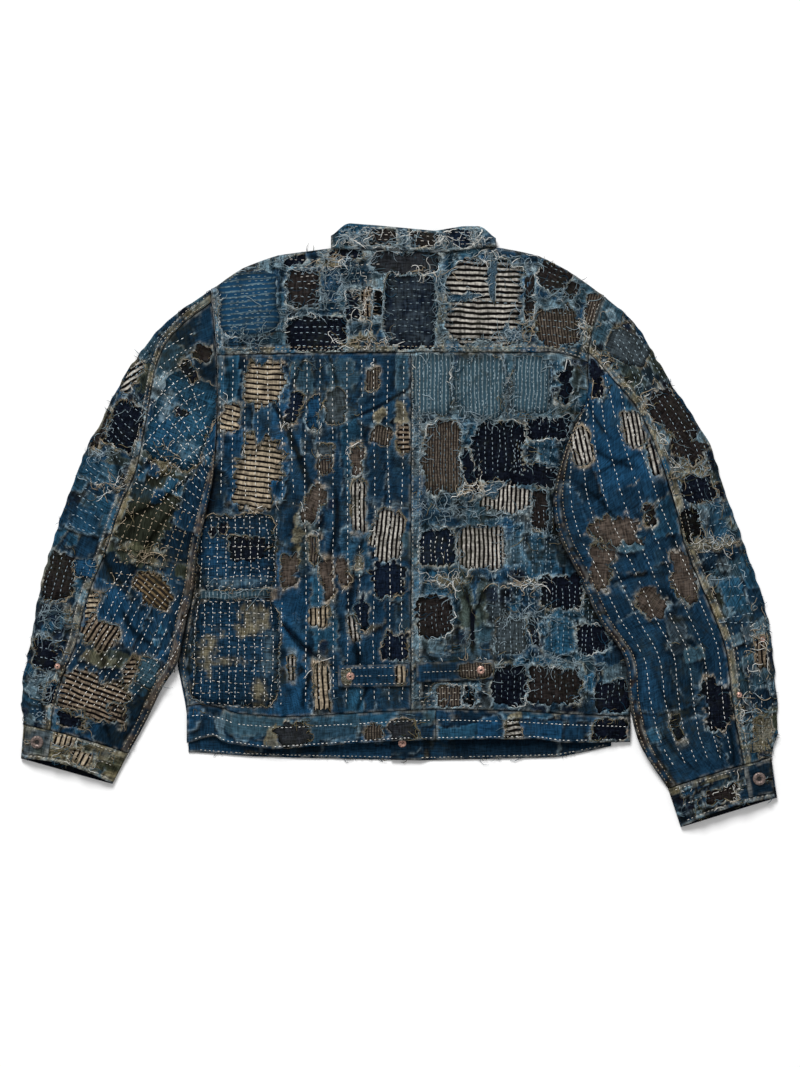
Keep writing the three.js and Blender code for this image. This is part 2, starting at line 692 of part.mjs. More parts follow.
function layOnBack(shape, thickness, steps) {
  const places = spaced(-0.5, 0.5, steps).map((down) => {
    return spaced(-0.5, 0.5, steps).map((across) => onBack(shape, across, down));
  });
  const height = (x, y) => bodyTop(x, y) + ON_PANEL_GAP + thickness;
  return layer(places, height, thickness);
}

function addBackPatches() {
  for (const patch of BACK_PATCHES) {
    add(`patch_${patch.name}`, layOnBack(patch, PATCH, STEPS.patch), patchFinish(patch.name));
  }
}

function addSleevePatches() {
  for (const { name, side, from, to, near, far } of SLEEVE_PATCHES) {
    const sections = SLEEVE_ROWS.filter((along) => along >= from && along <= to);
    const face = (lift) => sections.map((along) => spaced(near, far, STEPS.patch).map((share) => {
      return sleevePoint(side, along, share, sleeveTop(side, along, share) + ON_PANEL_GAP + lift);
    }));
    add(`patch_${name}`, wall(face(PATCH), face(0)), patchFinish(name));
  }
}

function patchFinish(name) {
  const finish = ["stripe", "brown", "ribbed"].find((word) => name.includes(word));
  return finish === "ribbed" ? "faded" : finish ?? "dark";
}

function addCinch() {
  for (const side of ["left", "right"]) {
    const strap = CINCH[side];
    add(`cinch_${side}`, layOnBack(strap, BAND, STEPS.cinch), "indigo");
    const end = onBack(strap, SLEEVE_SIDE[side] * RIVET.across, 0);
    const height = bodyTop(end.x, end.y) + ON_PANEL_GAP + BAND + METAL_LIFT;
    add(`rivet_cinch_${side}`, domed(RIVET), "copper").position.set(end.x, end.y, height);
  }
}

// Metal fittings, turned profiles

function domed({ radius, height }) {
  const profile = [
    [0, 0],
    [radius, 0],
    [radius, height * 0.35],
    [radius * 0.8, height * 0.75],
    [radius * 0.45, height],
    [0, height],
  ].map(([r, z]) => new THREE.Vector2(r, z));
  return new THREE.LatheGeometry(profile, STEPS.rivet).rotateX(Math.PI / 2);
}

function ringButton({ radius, height, hole, rim }) {
  const profile = [
    [0, 0],
    [radius - rim, 0],
    [radius, height * 0.4],
    [radius - rim * 0.5, height * 0.85],
    [radius * 0.6, height],
    [hole, height * 0.8],
    [hole * 0.8, height * 0.45],
    [0, height * 0.45],
  ].map(([r, z]) => new THREE.Vector2(r, z));
  return new THREE.LatheGeometry(profile, STEPS.button).rotateX(Math.PI / 2);
}

function addCuffButtons() {
  const { across, down } = BUTTON_ON_END;
  for (const side of ["left", "right"]) {
    const { x, y } = cuffPlace(side, down, across, true);
    const height = cuffTop(across) + SEAM_GAP + CLOTH + METAL_LIFT + SEAM_GAP;
    add(`button_cuff_${side}`, ringButton(BUTTON), "copper").position.set(x, y, height);
  }
}

function addHemTack() {
  const height = 2 * BAND + 2 * SEAM_GAP;
  add("button_tack_hem", domed(HEM_TACK), "copper").position.set(HEM_TACK.x, HEM_TACK.y, height);
}

function addSleeveRivets() {
  for (const { name, side, along, across } of SLEEVE_RIVETS) {
    const height = sleeveTop(side, along, across) + METAL_LIFT;
    const place = sleevePoint(side, along, across, height);
    add(name, domed(SMALL_RIVET), "copper").position.copy(place);
  }
}

for (const side of ["left", "right"]) {
  addFront(side);
  addBack(side);
  addWaistbandFront(side);
  addSleeveUnder(side);
  addSleeveTop(side);
  addCuff(side);
  addCuffEnd(side);
  addCollarFront(side);
}
addYoke();
addWaistbandBack();
addCollarBack();
addCinch();
addCuffButtons();
addHemTack();
addSleeveRivets();
addBackPatches();
addSleevePatches();

export default jacket;
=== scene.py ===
"""A patched boro jacket laid flat with its back up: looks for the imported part."""

import json
import math

import bmesh
import bpy
import numpy as np
from mathutils import Matrix, Vector
from mathutils.bvhtree import BVHTree
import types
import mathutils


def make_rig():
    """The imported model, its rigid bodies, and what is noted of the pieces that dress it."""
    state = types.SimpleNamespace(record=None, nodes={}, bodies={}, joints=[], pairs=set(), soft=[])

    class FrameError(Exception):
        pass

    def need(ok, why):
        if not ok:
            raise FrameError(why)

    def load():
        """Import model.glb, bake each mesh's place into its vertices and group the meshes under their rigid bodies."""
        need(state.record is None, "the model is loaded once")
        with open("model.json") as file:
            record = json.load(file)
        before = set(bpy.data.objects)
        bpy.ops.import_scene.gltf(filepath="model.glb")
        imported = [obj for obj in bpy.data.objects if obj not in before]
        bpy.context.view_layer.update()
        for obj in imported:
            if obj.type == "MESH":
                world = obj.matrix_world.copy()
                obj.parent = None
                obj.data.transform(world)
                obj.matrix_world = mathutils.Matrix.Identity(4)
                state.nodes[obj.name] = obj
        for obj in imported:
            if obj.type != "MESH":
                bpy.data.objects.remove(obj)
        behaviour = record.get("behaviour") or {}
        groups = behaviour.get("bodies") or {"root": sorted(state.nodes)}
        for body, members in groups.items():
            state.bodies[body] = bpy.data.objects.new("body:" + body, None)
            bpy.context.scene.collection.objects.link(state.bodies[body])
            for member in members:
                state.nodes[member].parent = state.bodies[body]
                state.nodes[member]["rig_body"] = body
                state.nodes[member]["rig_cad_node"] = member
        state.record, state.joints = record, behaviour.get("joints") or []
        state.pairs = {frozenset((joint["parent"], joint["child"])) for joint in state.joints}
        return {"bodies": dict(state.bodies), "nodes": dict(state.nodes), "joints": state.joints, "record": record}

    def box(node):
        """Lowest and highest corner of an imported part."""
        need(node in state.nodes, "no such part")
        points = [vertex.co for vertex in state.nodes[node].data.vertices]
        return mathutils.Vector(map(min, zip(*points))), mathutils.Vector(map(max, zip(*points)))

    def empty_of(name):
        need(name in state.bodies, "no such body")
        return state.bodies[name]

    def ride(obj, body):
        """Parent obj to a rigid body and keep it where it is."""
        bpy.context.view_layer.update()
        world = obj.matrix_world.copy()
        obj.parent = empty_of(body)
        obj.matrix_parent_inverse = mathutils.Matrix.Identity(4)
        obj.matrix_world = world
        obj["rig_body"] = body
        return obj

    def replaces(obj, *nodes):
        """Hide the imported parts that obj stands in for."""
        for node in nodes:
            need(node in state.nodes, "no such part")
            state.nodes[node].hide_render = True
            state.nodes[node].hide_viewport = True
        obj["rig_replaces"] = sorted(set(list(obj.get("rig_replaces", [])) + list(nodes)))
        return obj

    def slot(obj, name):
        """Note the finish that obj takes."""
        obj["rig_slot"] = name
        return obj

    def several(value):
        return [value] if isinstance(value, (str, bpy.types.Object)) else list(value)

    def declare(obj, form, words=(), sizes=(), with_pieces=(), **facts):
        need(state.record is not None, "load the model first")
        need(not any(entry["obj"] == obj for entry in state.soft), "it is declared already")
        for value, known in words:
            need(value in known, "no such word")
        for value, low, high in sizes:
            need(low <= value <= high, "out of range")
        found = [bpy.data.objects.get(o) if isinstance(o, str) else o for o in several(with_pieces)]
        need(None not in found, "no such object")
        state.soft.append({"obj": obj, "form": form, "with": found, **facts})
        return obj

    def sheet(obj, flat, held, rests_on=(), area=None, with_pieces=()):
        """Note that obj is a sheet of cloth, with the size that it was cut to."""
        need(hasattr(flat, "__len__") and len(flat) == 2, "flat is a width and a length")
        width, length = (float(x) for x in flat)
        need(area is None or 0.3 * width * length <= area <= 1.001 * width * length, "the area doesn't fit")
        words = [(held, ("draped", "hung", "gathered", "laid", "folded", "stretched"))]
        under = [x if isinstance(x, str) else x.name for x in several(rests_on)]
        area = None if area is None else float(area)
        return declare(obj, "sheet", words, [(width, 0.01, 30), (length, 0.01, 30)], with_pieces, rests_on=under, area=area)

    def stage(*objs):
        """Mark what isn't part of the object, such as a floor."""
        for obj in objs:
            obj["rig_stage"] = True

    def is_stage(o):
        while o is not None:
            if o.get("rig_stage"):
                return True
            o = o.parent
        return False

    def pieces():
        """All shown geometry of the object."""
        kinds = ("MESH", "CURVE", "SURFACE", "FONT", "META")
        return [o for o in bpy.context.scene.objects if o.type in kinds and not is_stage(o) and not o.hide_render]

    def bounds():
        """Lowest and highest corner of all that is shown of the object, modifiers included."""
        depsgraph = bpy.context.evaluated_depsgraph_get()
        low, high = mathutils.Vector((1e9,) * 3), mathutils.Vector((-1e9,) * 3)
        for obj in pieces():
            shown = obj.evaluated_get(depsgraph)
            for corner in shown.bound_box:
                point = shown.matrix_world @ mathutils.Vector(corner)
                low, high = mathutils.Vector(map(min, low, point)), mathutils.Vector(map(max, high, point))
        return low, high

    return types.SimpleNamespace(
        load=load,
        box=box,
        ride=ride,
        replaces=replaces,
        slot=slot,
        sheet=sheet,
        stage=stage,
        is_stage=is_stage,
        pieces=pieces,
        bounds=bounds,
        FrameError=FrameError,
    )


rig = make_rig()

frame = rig.load()
CAD_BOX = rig.bounds()

MM = 0.001  # tables below are in millimetres, meshes in metres
TURN = 2 * math.pi


def columns(names, *rows):
    """A table as arrays, one for each named column."""
    return {name: np.array(values, float) for name, values in zip(names.split(), zip(*rows))}


def records(names, *rows):
    """A table as dictionaries, one for each row."""
    return [dict(zip(names.split(), row)) for row in rows]


def worth(word):
    """A word as a whole number or a number, if it is one."""
    for kind in (int, float):
        try:
            return kind(word)
        except ValueError:
            continue
    return word


def table(names, text):
    """A table written as text, as dictionaries; a line with a colon gives the first column of those below."""
    names = names.split()
    found, first = [], []
    for line in text.strip().splitlines():
        if line.endswith(":"):
            first = [line[:-1]]
            continue
        words = first + line.split(None, len(names) - len(first) - 1)
        words += [""] * (len(names) - len(words))
        found.append({name: worth(word) for name, word in zip(names, words)})
    return found


def rows_for(rows, name, column="panel"):
    """The rows of a table with a name in one column."""
    return [row for row in rows if row[column] == name]


# Cloth and seams
CLOTH = 2.0
BAND = 2.5
SEAM_GAP = 0.3
LAID_EDGE = 2 * CLOTH + SEAM_GAP
FELL_RISE = 0.9  # height of a felled seam's ridge
EDGE_ROLL = 0.8  # how far a seamed edge turns down
GRID = 1.85  # spacing of a shown surface's points
HIDDEN_GRID = 6.0  # spacing on hidden layers
INNER_STRIDE = 4  # an inner face takes every so many rows and columns of its outer face

# How far the upper layers stand off the lower ones
BODY_LOFT = 8.0
BODY_RISE = 70.0
SHOULDER_RISE = 55.0
NECK_LOFT = 0.6
HEM_LOFT = 0.75
HEM_FALL = 90.0
SLEEVE_ON_BODY = LAID_EDGE + 1
SLEEVE_CLEAR = 20.0
SLEEVE_STEP = 58.0
SLEEVE_LAP = {"start": 75, "full": 30}
SLEEVE_FOOT = {"low": -345, "high": -310}
FOLD_BULGE = 1.6

# Seams of the body
CENTRE_BACK = 15.0
CENTRE_FRONT = {"overlap_from": -10, "overlap_to": 22, "clear": 2, "step": 18, "left": 22, "right": -10}
WAISTBAND_JOIN = 46.0
BAND_ROLL = 1.1  # how far a waistband bulges between its edges
SLEEVE_LENGTH = 545.0
FRONT_FOOT = -238.0
FRONT_BAND_END = {"left": -263, "right": 265}
YOKE_FOOT = {"left": 212, "right": 203}
NECK = {"left": -83, "right": 121, "rise": 40}
ARMHOLE = {
    "left": {"top_x": -235, "top_y": 293, "foot_x": -230, "foot_y": 82, "bow": 6},
    "right": {"top_x": 256, "top_y": 285, "foot_x": 240, "foot_y": 152, "bow": -11},
}
SIDE_SEAM = {
    "left": columns(
        "y x", (-284, -255), (-252, -264), (-228, -266), (-174, -277), (-84, -262), (50, -254), (82, -230),
    ),
    "right": columns("y x", (-271, 284), (-238, 289), (106, 286), (125, 264), (152, 240)),
}
SHOULDER_LINE = columns(
    "x y", (-235, 293), (-212, 310), (-195, 321), (-180, 327), (-151, 337), (-83, 346), (-60, 348),
    (100, 348), (121, 347), (150, 342), (175, 336), (209, 319), (237, 300), (256, 285),
)
YOKE_SEAM = columns("x y", (-235, 212), (-86, 215), (197, 215), (215, 211), (240, 202))
WAIST_SEAM = columns(
    "x y", (-280, -228), (-246, -224), (-221, -228), (-206, -235), (-146, -240),
    (1, -232), (48, -230), (141, -232), (209, -236), (290, -239),
)
BACK_HEM = columns(
    "x y", (-261, -272), (-243, -266), (-229, -263), (-219, -272), (-182, -277), (-159, -280),
    (1, -269), (141, -267), (174, -267), (204, -272), (285, -271),
)
FRONT_HEM = columns(
    "x y", (-255, -284), (-186, -289), (-124, -291), (26, -294),
    (170, -291), (199, -290), (240, -282), (265, -276),
)
OPEN_BACK = columns(
    "y left right", (-290, -262, 287), (-219, -268, 287), (-166, -276, 281), (-119, -264, 250),
    (-59, -254, 222), (-16, -248, 200), (29, -238, 192), (79, -230, 202), (126, -229, 221),
    (152, -228, 238), (210, -226, 234), (293, -235, 256),
)

# Sleeves, a row for each section: inner edge, outer edge, bow, loft and place of the over-arm seam
SLEEVE = {
    "left": columns(
        "in_x in_y out_x out_y bow loft seam",
        (-230, 82, -235, 293, 6, 0.5, 0.94), (-232, 60, -301, 244, 3, 6, 0.9),
        (-236, 36, -345, 183, 0, 9, 0.72), (-244, 0, -378, 120, 0, 10, 0.62),
        (-252, -39, -404, 62, 0, 10, 0.63), (-256, -79, -427, -8, 0, 10, 0.65),
        (-266, -122, -447, -72, 0, 10, 0.68), (-276, -170, -459, -138, 0, 10, 0.7),
        (-296, -204, -469, -187, 0, 9, 0.73), (-316, -245, -471, -222, 0, 9, 0.75),
        (-338, -285, -469, -249, 3, 8, 0.75),
    ),
    "right": columns(
        "in_x in_y out_x out_y bow loft seam",
        (240, 152, 256, 285, 11, 0.5, 0.47), (221, 126, 301, 244, 4, 6, 0.53),
        (202, 79, 337, 182, 0, 9, 0.69), (192, 29, 380, 117, 0, 11, 0.7),
        (200, -16, 407, 44, 0, 11, 0.7), (222, -59, 429, -22, 0, 11, 0.67),
        (250, -119, 456, -97, 0, 10, 0.68), (281, -166, 466, -150, 0, 10, 0.69),
        (287, -219, 472, -217, 0, 9, 0.7), (301, -274, 472, -257, 0, 9, 0.72),
        (336, -329, 465, -290, 2, 8, 0.74),
    ),
}
SIDES = ("left", "right")
OUTWARD = {"left": -1, "right": 1}
LAST_SECTION = len(SLEEVE["left"]["in_x"]) - 1

# Cuffs: corners of the hem and how far the upper layer draws back from it
CUFF_LOFT = 8.0
CUFF = {
    "left": {"in_x": -358, "in_y": -323, "out_x": -472, "out_y": -291, "drawn": 8, "width": 125},
    "right": {"in_x": 352, "in_y": -377, "out_x": 472, "out_y": -340, "drawn": 6, "width": 130},
}
CUFF_END = {"near": 0.72, "far": 0.985, "top": 0.05, "foot": 0.86}

# Collar: free edge, top fold and how high the neck stands
COLLAR = columns(
    "x edge fold lift", (-85, 345, 360, 0.5), (-66, 344, 377, 2.5), (-28, 343, 374, 4.4), (14, 341, 370, 5),
    (45, 339, 367, 5), (80, 343, 373, 4.4), (104, 346, 373, 2.5), (121, 347, 357, 0.5),
)
CINCH = {
    "left": {"x": -31, "y": -188, "width": 90, "depth": 28, "slope": 0.02},
    "right": {"x": 70, "y": -182, "width": 97, "depth": 25, "slope": 0.04},
}


# Numbers


def ramp(start, end, value):
    """0 to 1 while a value goes from start to end, with soft ends."""
    share = np.clip((value - start) / (end - start), 0, 1)
    return share * share * (3 - 2 * share)


def mix(first, second, share):
    return first + (second - first) * share


def bell(value):
    """1 at 0, falling softly to nothing on both sides."""
    return np.exp(-(value ** 2))


def between(table, key, place, column, soft=0.0):
    """A column of a table at a place between its rows, with its corners softened over a width."""
    taps = np.linspace(-soft, soft, 5) if soft else (0.0,)
    return sum(np.interp(place + tap, table[key], table[column]) for tap in taps) / len(taps)


def on_curve(table, place, column):
    """A column on a smooth curve through evenly counted rows."""
    values = table[column]
    last = len(values) - 1
    start = np.clip(np.floor(place).astype(int), 0, last - 1)
    step = place - start
    first, second = values[start], values[start + 1]
    leave = (second - values[np.maximum(start - 1, 0)]) / 2
    arrive = (values[np.minimum(start + 2, last)] - first) / 2
    curve = 2 * (first - second) + leave + arrive
    bend = 3 * (second - first) - 2 * leave - arrive
    return first + step * (leave + step * (bend + step * curve))


def lumps(x, y, size, seed):
    """Smooth seeded unevenness from -1 to 1 with lumps of a size."""
    cells = 64
    lattice = np.random.default_rng(seed).uniform(-1, 1, (cells, cells))
    u, v = np.asarray(x) / size, np.asarray(y) / size
    column, row = np.floor(u).astype(int), np.floor(v).astype(int)
    across, down = ramp(0, 1, u - column), ramp(0, 1, v - row)
    left, right = column % cells, (column + 1) % cells
    low, high = row % cells, (row + 1) % cells
    lower = mix(lattice[low, left], lattice[low, right], across)
    upper = mix(lattice[high, left], lattice[high, right], across)
    return mix(lower, upper, down)


def turned(x, y, degrees):
    angle = math.radians(degrees)
    return x * math.cos(angle) - y * math.sin(angle), x * math.sin(angle) + y * math.cos(angle)


def graded(length, spacing, edge=(0.0, 0.7, 1.6, 2.8, 4.3)):
    """Shares from 0 to 1 along a length, evenly spaced but closer at both ends."""
    count = max(2, round((length - 2 * edge[-1]) / spacing))
    inside = np.linspace(edge[-1], length - edge[-1], count + 1)[1:-1]
    close = np.array(edge)
    return np.concatenate([close, inside, (length - close)[::-1]]) / length


def linear(red, green, blue):
    """A colour as seen on a screen, as light."""
    seen = np.array([red, green, blue]) / 255
    return np.where(seen <= 0.04045, seen / 12.92, ((seen + 0.055) / 1.055) ** 2.4)


# The form of the body


def body_edge(side, y):
    hole = ARMHOLE[side]
    share = np.clip((y - hole["foot_y"]) / (hole["top_y"] - hole["foot_y"]), 0, 1)
    armhole = mix(hole["foot_x"], hole["top_x"], share) + hole["bow"] * 4 * share * (1 - share)
    return np.where(y > hole["foot_y"], armhole, between(SIDE_SEAM[side], "y", y, "x", 5))


def body_free(x, y):
    """1 where the back stands off the front, falling to 0 at its sides and under a sleeve."""
    left = x - between(OPEN_BACK, "y", y, "left", 8)
    right = between(OPEN_BACK, "y", y, "right", 8) - x
    return ramp(0, BODY_RISE, left) * ramp(0, BODY_RISE, right)


def body_top(x, y):
    down = between(SHOULDER_LINE, "x", x, "y") - y
    neck = NECK_LOFT * ramp(NECK["left"], NECK["left"] + NECK["rise"], x)
    neck = neck * ramp(NECK["right"], NECK["right"] - NECK["rise"], x)
    top = mix(neck, 1, ramp(0, SHOULDER_RISE, down))
    hem = mix(1, HEM_LOFT, ramp(FRONT_FOOT + HEM_FALL, FRONT_FOOT, y))
    return LAID_EDGE + body_free(x, y) * BODY_LOFT * top * hem


# The form of the sleeves


EDGE_UNEVEN = 1.1  # how far a sleeve's outer edge wanders in and out
SECTION_LENGTH = 60  # about how long a section of a sleeve is
PLAN = ("in_x", "in_y", "out_x", "out_y", "bow")  # the columns of a section that are seen from above


def sleeve_place(side, along, share):
    """The plan of a sleeve at places along it and shares of the way across."""
    section = {name: on_curve(SLEEVE[side], along, name) for name in PLAN}
    run_x, run_y = section["out_x"] - section["in_x"], section["out_y"] - section["in_y"]
    width = np.hypot(run_x, run_y)
    run_x, run_y = run_x / width, run_y / width
    bowed = section["bow"] * 4 * share * (1 - share) - 2 * SEAM_GAP * ramp(1, 0, along)
    down = along * SECTION_LENGTH
    wander = lumps(down, 0 * along, 22, 5) + lumps(down, 0 * along, 8, 6)
    worn_edge = EDGE_UNEVEN * ramp(0.86, 1, share) * wander
    reach = share * (width - FOLD_BULGE) + worn_edge
    x = section["in_x"] + run_x * reach - run_y * bowed * OUTWARD[side]
    y = section["in_y"] + run_y * reach + run_x * bowed * OUTWARD[side]
    return x, y


def sleeve_rest(side, x, y):
    """Height of a sleeve's underside: the surface, or the body where the sleeve lies on it."""
    inside = OUTWARD[side] * (body_edge(side, y) - x)
    foot = ARMHOLE[side]["foot_y"]
    lap = ramp(foot + SLEEVE_LAP["start"], foot + SLEEVE_LAP["full"], y)
    above_hem = ramp(SLEEVE_FOOT["low"], SLEEVE_FOOT["high"], y)
    return SLEEVE_ON_BODY * ramp(-SLEEVE_STEP, -SLEEVE_CLEAR, inside) * lap * above_hem


def sleeve_round(share):
    return 1 - np.abs(2 * share - 1) ** 3


def sleeve_top(side, along, share):
    x, y = sleeve_place(side, along, share)
    return sleeve_rest(side, x, y) + LAID_EDGE + on_curve(SLEEVE[side], along, "loft") * sleeve_round(share)


# The form of the cuffs


def cuff_place(side, down, share, upper):
    """The plan of a cuff from its seam, down 0, to its hem, down 1."""
    hem, section = CUFF[side], SLEEVE[side]
    seam = {name: section[name][LAST_SECTION] for name in PLAN}
    near = [mix(seam["in_" + axis], hem["in_" + axis], down) for axis in "xy"]
    far = [mix(seam["out_" + axis], hem["out_" + axis], down) for axis in "xy"]
    way = [hem["in_" + axis] + hem["out_" + axis] - seam["in_" + axis] - seam["out_" + axis] for axis in "xy"]
    bowed = 4 * share * (1 - share)
    drawn = hem["drawn"] * bowed * down * upper
    slide = (2 * SEAM_GAP - drawn - (1 - down) * seam["bow"] * bowed) / math.hypot(*way)
    return tuple(mix(near[k], far[k], share) + way[k] * slide for k in range(2))


def cuff_top(share):
    return 2 * BAND + SEAM_GAP + CUFF_LOFT * sleeve_round(share)


# Creases, listed one by one: a soft trough (rise below 0) or ridge from one point to another, its bow,
# its half width, and the lift of the cloth pushed up on one side of it
CREASES = table("part x1 y1 x2 y2 rise width bow lift", """
body:
  -166 166 -113 50 -3.4 5.5 -5 0.6
  -228 82 -198 28 -2.2 5 3 0.5
  -57 134 14 172 -1.7 2.6 3 0.4
  -168 -84 -90 -172 -3.2 5.5 10 0.6
  -152 -110 -98 -196 1.8 7 6 0
  -240 -82 -149 -80 2 8 -3 0
  -195 316 -197 228 -3.4 5 3 0.7
  -176 312 -170 240 1.5 9 -2 0
  112 -76 92 -158 -2.8 4.5 9 0.6
  79 -72 92 -154 -2.4 4 -5 0.5
  100 -84 96 -140 2.4 7 2 0
  45 -42 30 -92 -1.7 4 4 0.5
  150 -20 205 -120 2.0 10 6 0
  -118 206 -132 172 -1.5 3.5 2 0.5
  -86 208 -78 150 -1.3 3.2 -3 0.5
  -30 206 -24 168 -1.2 3.2 2 0.4
  -78 40 -86 -40 -1.8 4.5 -4 0.6
  -45 -20 -62 -120 -1.6 5 5 0.5
  -125 -20 -140 -70 -1.6 5 3 0.5
  -62 -132 -50 -176 -1.8 5 -3 0.6
  -110 -186 -120 -228 -1.4 4.5 2 0.5
  -40 -204 -52 -232 -1.2 4 1 0.5
  30 -150 48 -176 -1.5 4 2 0.5
  118 -176 132 -228 -1.3 4.5 -2 0.5
  168 -160 150 -196 -1.4 5 3 0.5
  60 196 52 120 -1.2 3.5 3 0.5
  110 205 118 140 -1.3 3.5 -2 0.5
  148 200 140 150 -1.2 4 2 0.5
  180 190 205 120 -2.0 6 4 0.5
  160 60 196 10 -1.6 6 -4 0.5
  70 60 84 0 -1.2 5 3 0.5
  -72 318 -40 262 -1.4 6 3 0.5
  62 330 72 240 -1.2 5 -3 0.5
  172 318 160 236 -1.5 6 4 0.5
  -140 336 -150 262 -1.2 5 2 0.5
  214 304 190 236 -1.4 6 -3 0.5
left:
  -240 112 -330 60 -2.6 7 8 0.6
  -246 150 -318 176 -1.8 7 -5 0.5
  -262 60 -352 4 -2.2 7 -7 0.6
  -270 30 -330 -60 -1.8 6 6 0.5
  -330 150 -300 90 -1.8 6 4 0.5
  -362 96 -340 30 -1.6 6 -3 0.5
  -372 -30 -330 -92 -2.0 7 6 0.6
  -410 -10 -388 -80 -1.8 6 4 0.5
  -392 -120 -366 -186 -2.2 5 -5 0.6
  -344 -110 -306 -150 -1.8 6 5 0.5
  -440 -110 -420 -180 -1.8 6 3 0.5
  -330 -180 -352 -232 -1.6 6 4 0.5
  -420 -196 -404 -246 -1.8 5 -3 0.6
  -372 -206 -360 -268 -1.6 5 2 0.5
  -448 -196 -440 -246 -1.4 5 2 0.5
right:
  232 168 262 110 -2.2 6 5 0.6
  222 110 300 70 -2.0 8 6 0.5
  206 62 280 -10 -2.2 8 -8 0.5
  212 -10 300 -40 -1.8 8 6 0.5
  240 60 330 96 -1.6 8 -4 0.4
  250 -80 330 -60 -1.8 8 -6 0.5
  290 190 330 120 -1.8 6 -4 0.5
  332 140 372 70 -1.8 6 4 0.5
  340 -20 392 -66 -1.8 7 5 0.5
  290 -130 372 -120 -1.8 7 -6 0.5
  390 10 412 -70 -1.8 7 4 0.5
  318 -176 352 -250 -2.2 6 5 0.6
  372 -150 390 -236 -1.8 6 -4 0.5
  430 -130 440 -220 -1.6 6 3 0.5
  330 -262 376 -310 -1.8 6 4 0.6
  410 -246 418 -300 -1.6 5 -2 0.5
  446 -230 444 -286 -1.4 5 2 0.5
""")
CREASE_DEPTH = {"body": 1.5, "left": 1.3, "right": 0.55}
# A crease's sharp core, its share, and the cloth pushed up beside it, as shares of the crease's width
CREASE = {"core": 0.3, "core_share": 0.55, "pushed_at": 2.1, "pushed_width": 1.5}


def crease_relief(part, x, y):
    total = np.zeros_like(x)
    for row in rows_for(CREASES, part, "part"):
        run_x, run_y = row["x2"] - row["x1"], row["y2"] - row["y1"]
        length = math.hypot(run_x, run_y)
        from_x, from_y = x - row["x1"], y - row["y1"]
        share = (from_x * run_x + from_y * run_y) / length**2
        aside = (from_x * run_y - from_y * run_x) / length - row["bow"] * 4 * share * (1 - share)
        taper = ramp(-0.18, 0.2, share) * ramp(1.18, 0.75, share)
        width = row["width"]
        hollow = mix(bell(aside / width), bell(aside / (CREASE["core"] * width)), CREASE["core_share"])
        pushed = row["lift"] * bell((aside - CREASE["pushed_at"] * width) / (CREASE["pushed_width"] * width))
        total += CREASE_DEPTH[part] * row["rise"] * taper * (hollow - pushed)
    return total


# Unevenness of patched, stitched cloth: size of the lumps and their height
UNEVEN = records("size height stretch", (38, 1.2, 1.0), (15, 0.75, 0.6), (6.5, 0.36, 1.0), (3.6, 0.2, 1.0))
BROAD_LUMP = 20  # lumps above this size are as high on smooth cloth
PUCKER = {"size": 7.0, "height": 0.55, "reach": 16.0}  # gathers that run in from a seam


def uneven_relief(x, y, seed, rough=1.0):
    """Lumps of each size, the smaller ones less high on smoother cloth."""
    total = np.zeros_like(x)
    for step, row in enumerate(UNEVEN):
        height = row["height"] * (1.0 if row["size"] > BROAD_LUMP else rough)
        total += height * lumps(x, y * row["stretch"], row["size"], seed + step)
    return total


# Colours as seen
INKS = {
    "deep": (11, 28, 41), "indigo": (19, 45, 65), "bright": (22, 56, 82), "blue": (30, 65, 86),
    "teal": (46, 70, 82), "faded": (84, 106, 117), "pale": (128, 146, 153), "slate": (56, 65, 70),
    "night": (10, 14, 24), "navy": (14, 23, 37), "charcoal": (36, 38, 42), "brown": (70, 62, 56),
    "umber": (31, 27, 26), "khaki": (112, 104, 80), "olive": (54, 58, 44), "moss": (32, 35, 28),
    "cream": (178, 163, 140), "bone": (192, 187, 178), "chalk": (236, 236, 231), "mist": (156, 174, 184),
    "soot": (8, 7, 8), "tan": (146, 130, 112), "bark": (102, 93, 83), "clay": (116, 98, 72),
}
INK = {name: linear(*seen) for name, seen in INKS.items()}

# Cloth of each panel: its shades from dark to pale, how frayed and how rough it is, and the seed of its
# unevenness
SHADE_ROWS = table("panel dark mid pale fray rough seed", """
yoke indigo blue faded 0.62 1.0 11
back_left deep indigo teal 0.22 0.5 22
back_right indigo teal faded 0.72 1.0 33
waistband_back deep indigo teal 0.25 0.5 44
sleeve_left_under deep indigo blue 0.3 0.6 55
sleeve_left_top deep indigo teal 0.45 1.0 66
sleeve_right_under deep indigo teal 0.22 0.4 77
sleeve_right_top deep indigo teal 0.5 1.0 88
cuff_left olive slate khaki 0.55 0.9 99
cuff_right night deep teal 0.4 0.9 110
collar_back indigo teal pale 0.72 1.0 121
cinch deep indigo blue 0.2 0.4 143
front deep indigo blue 0.15 0.5 132
""")
SHADES = {row["panel"]: row for row in SHADE_ROWS}

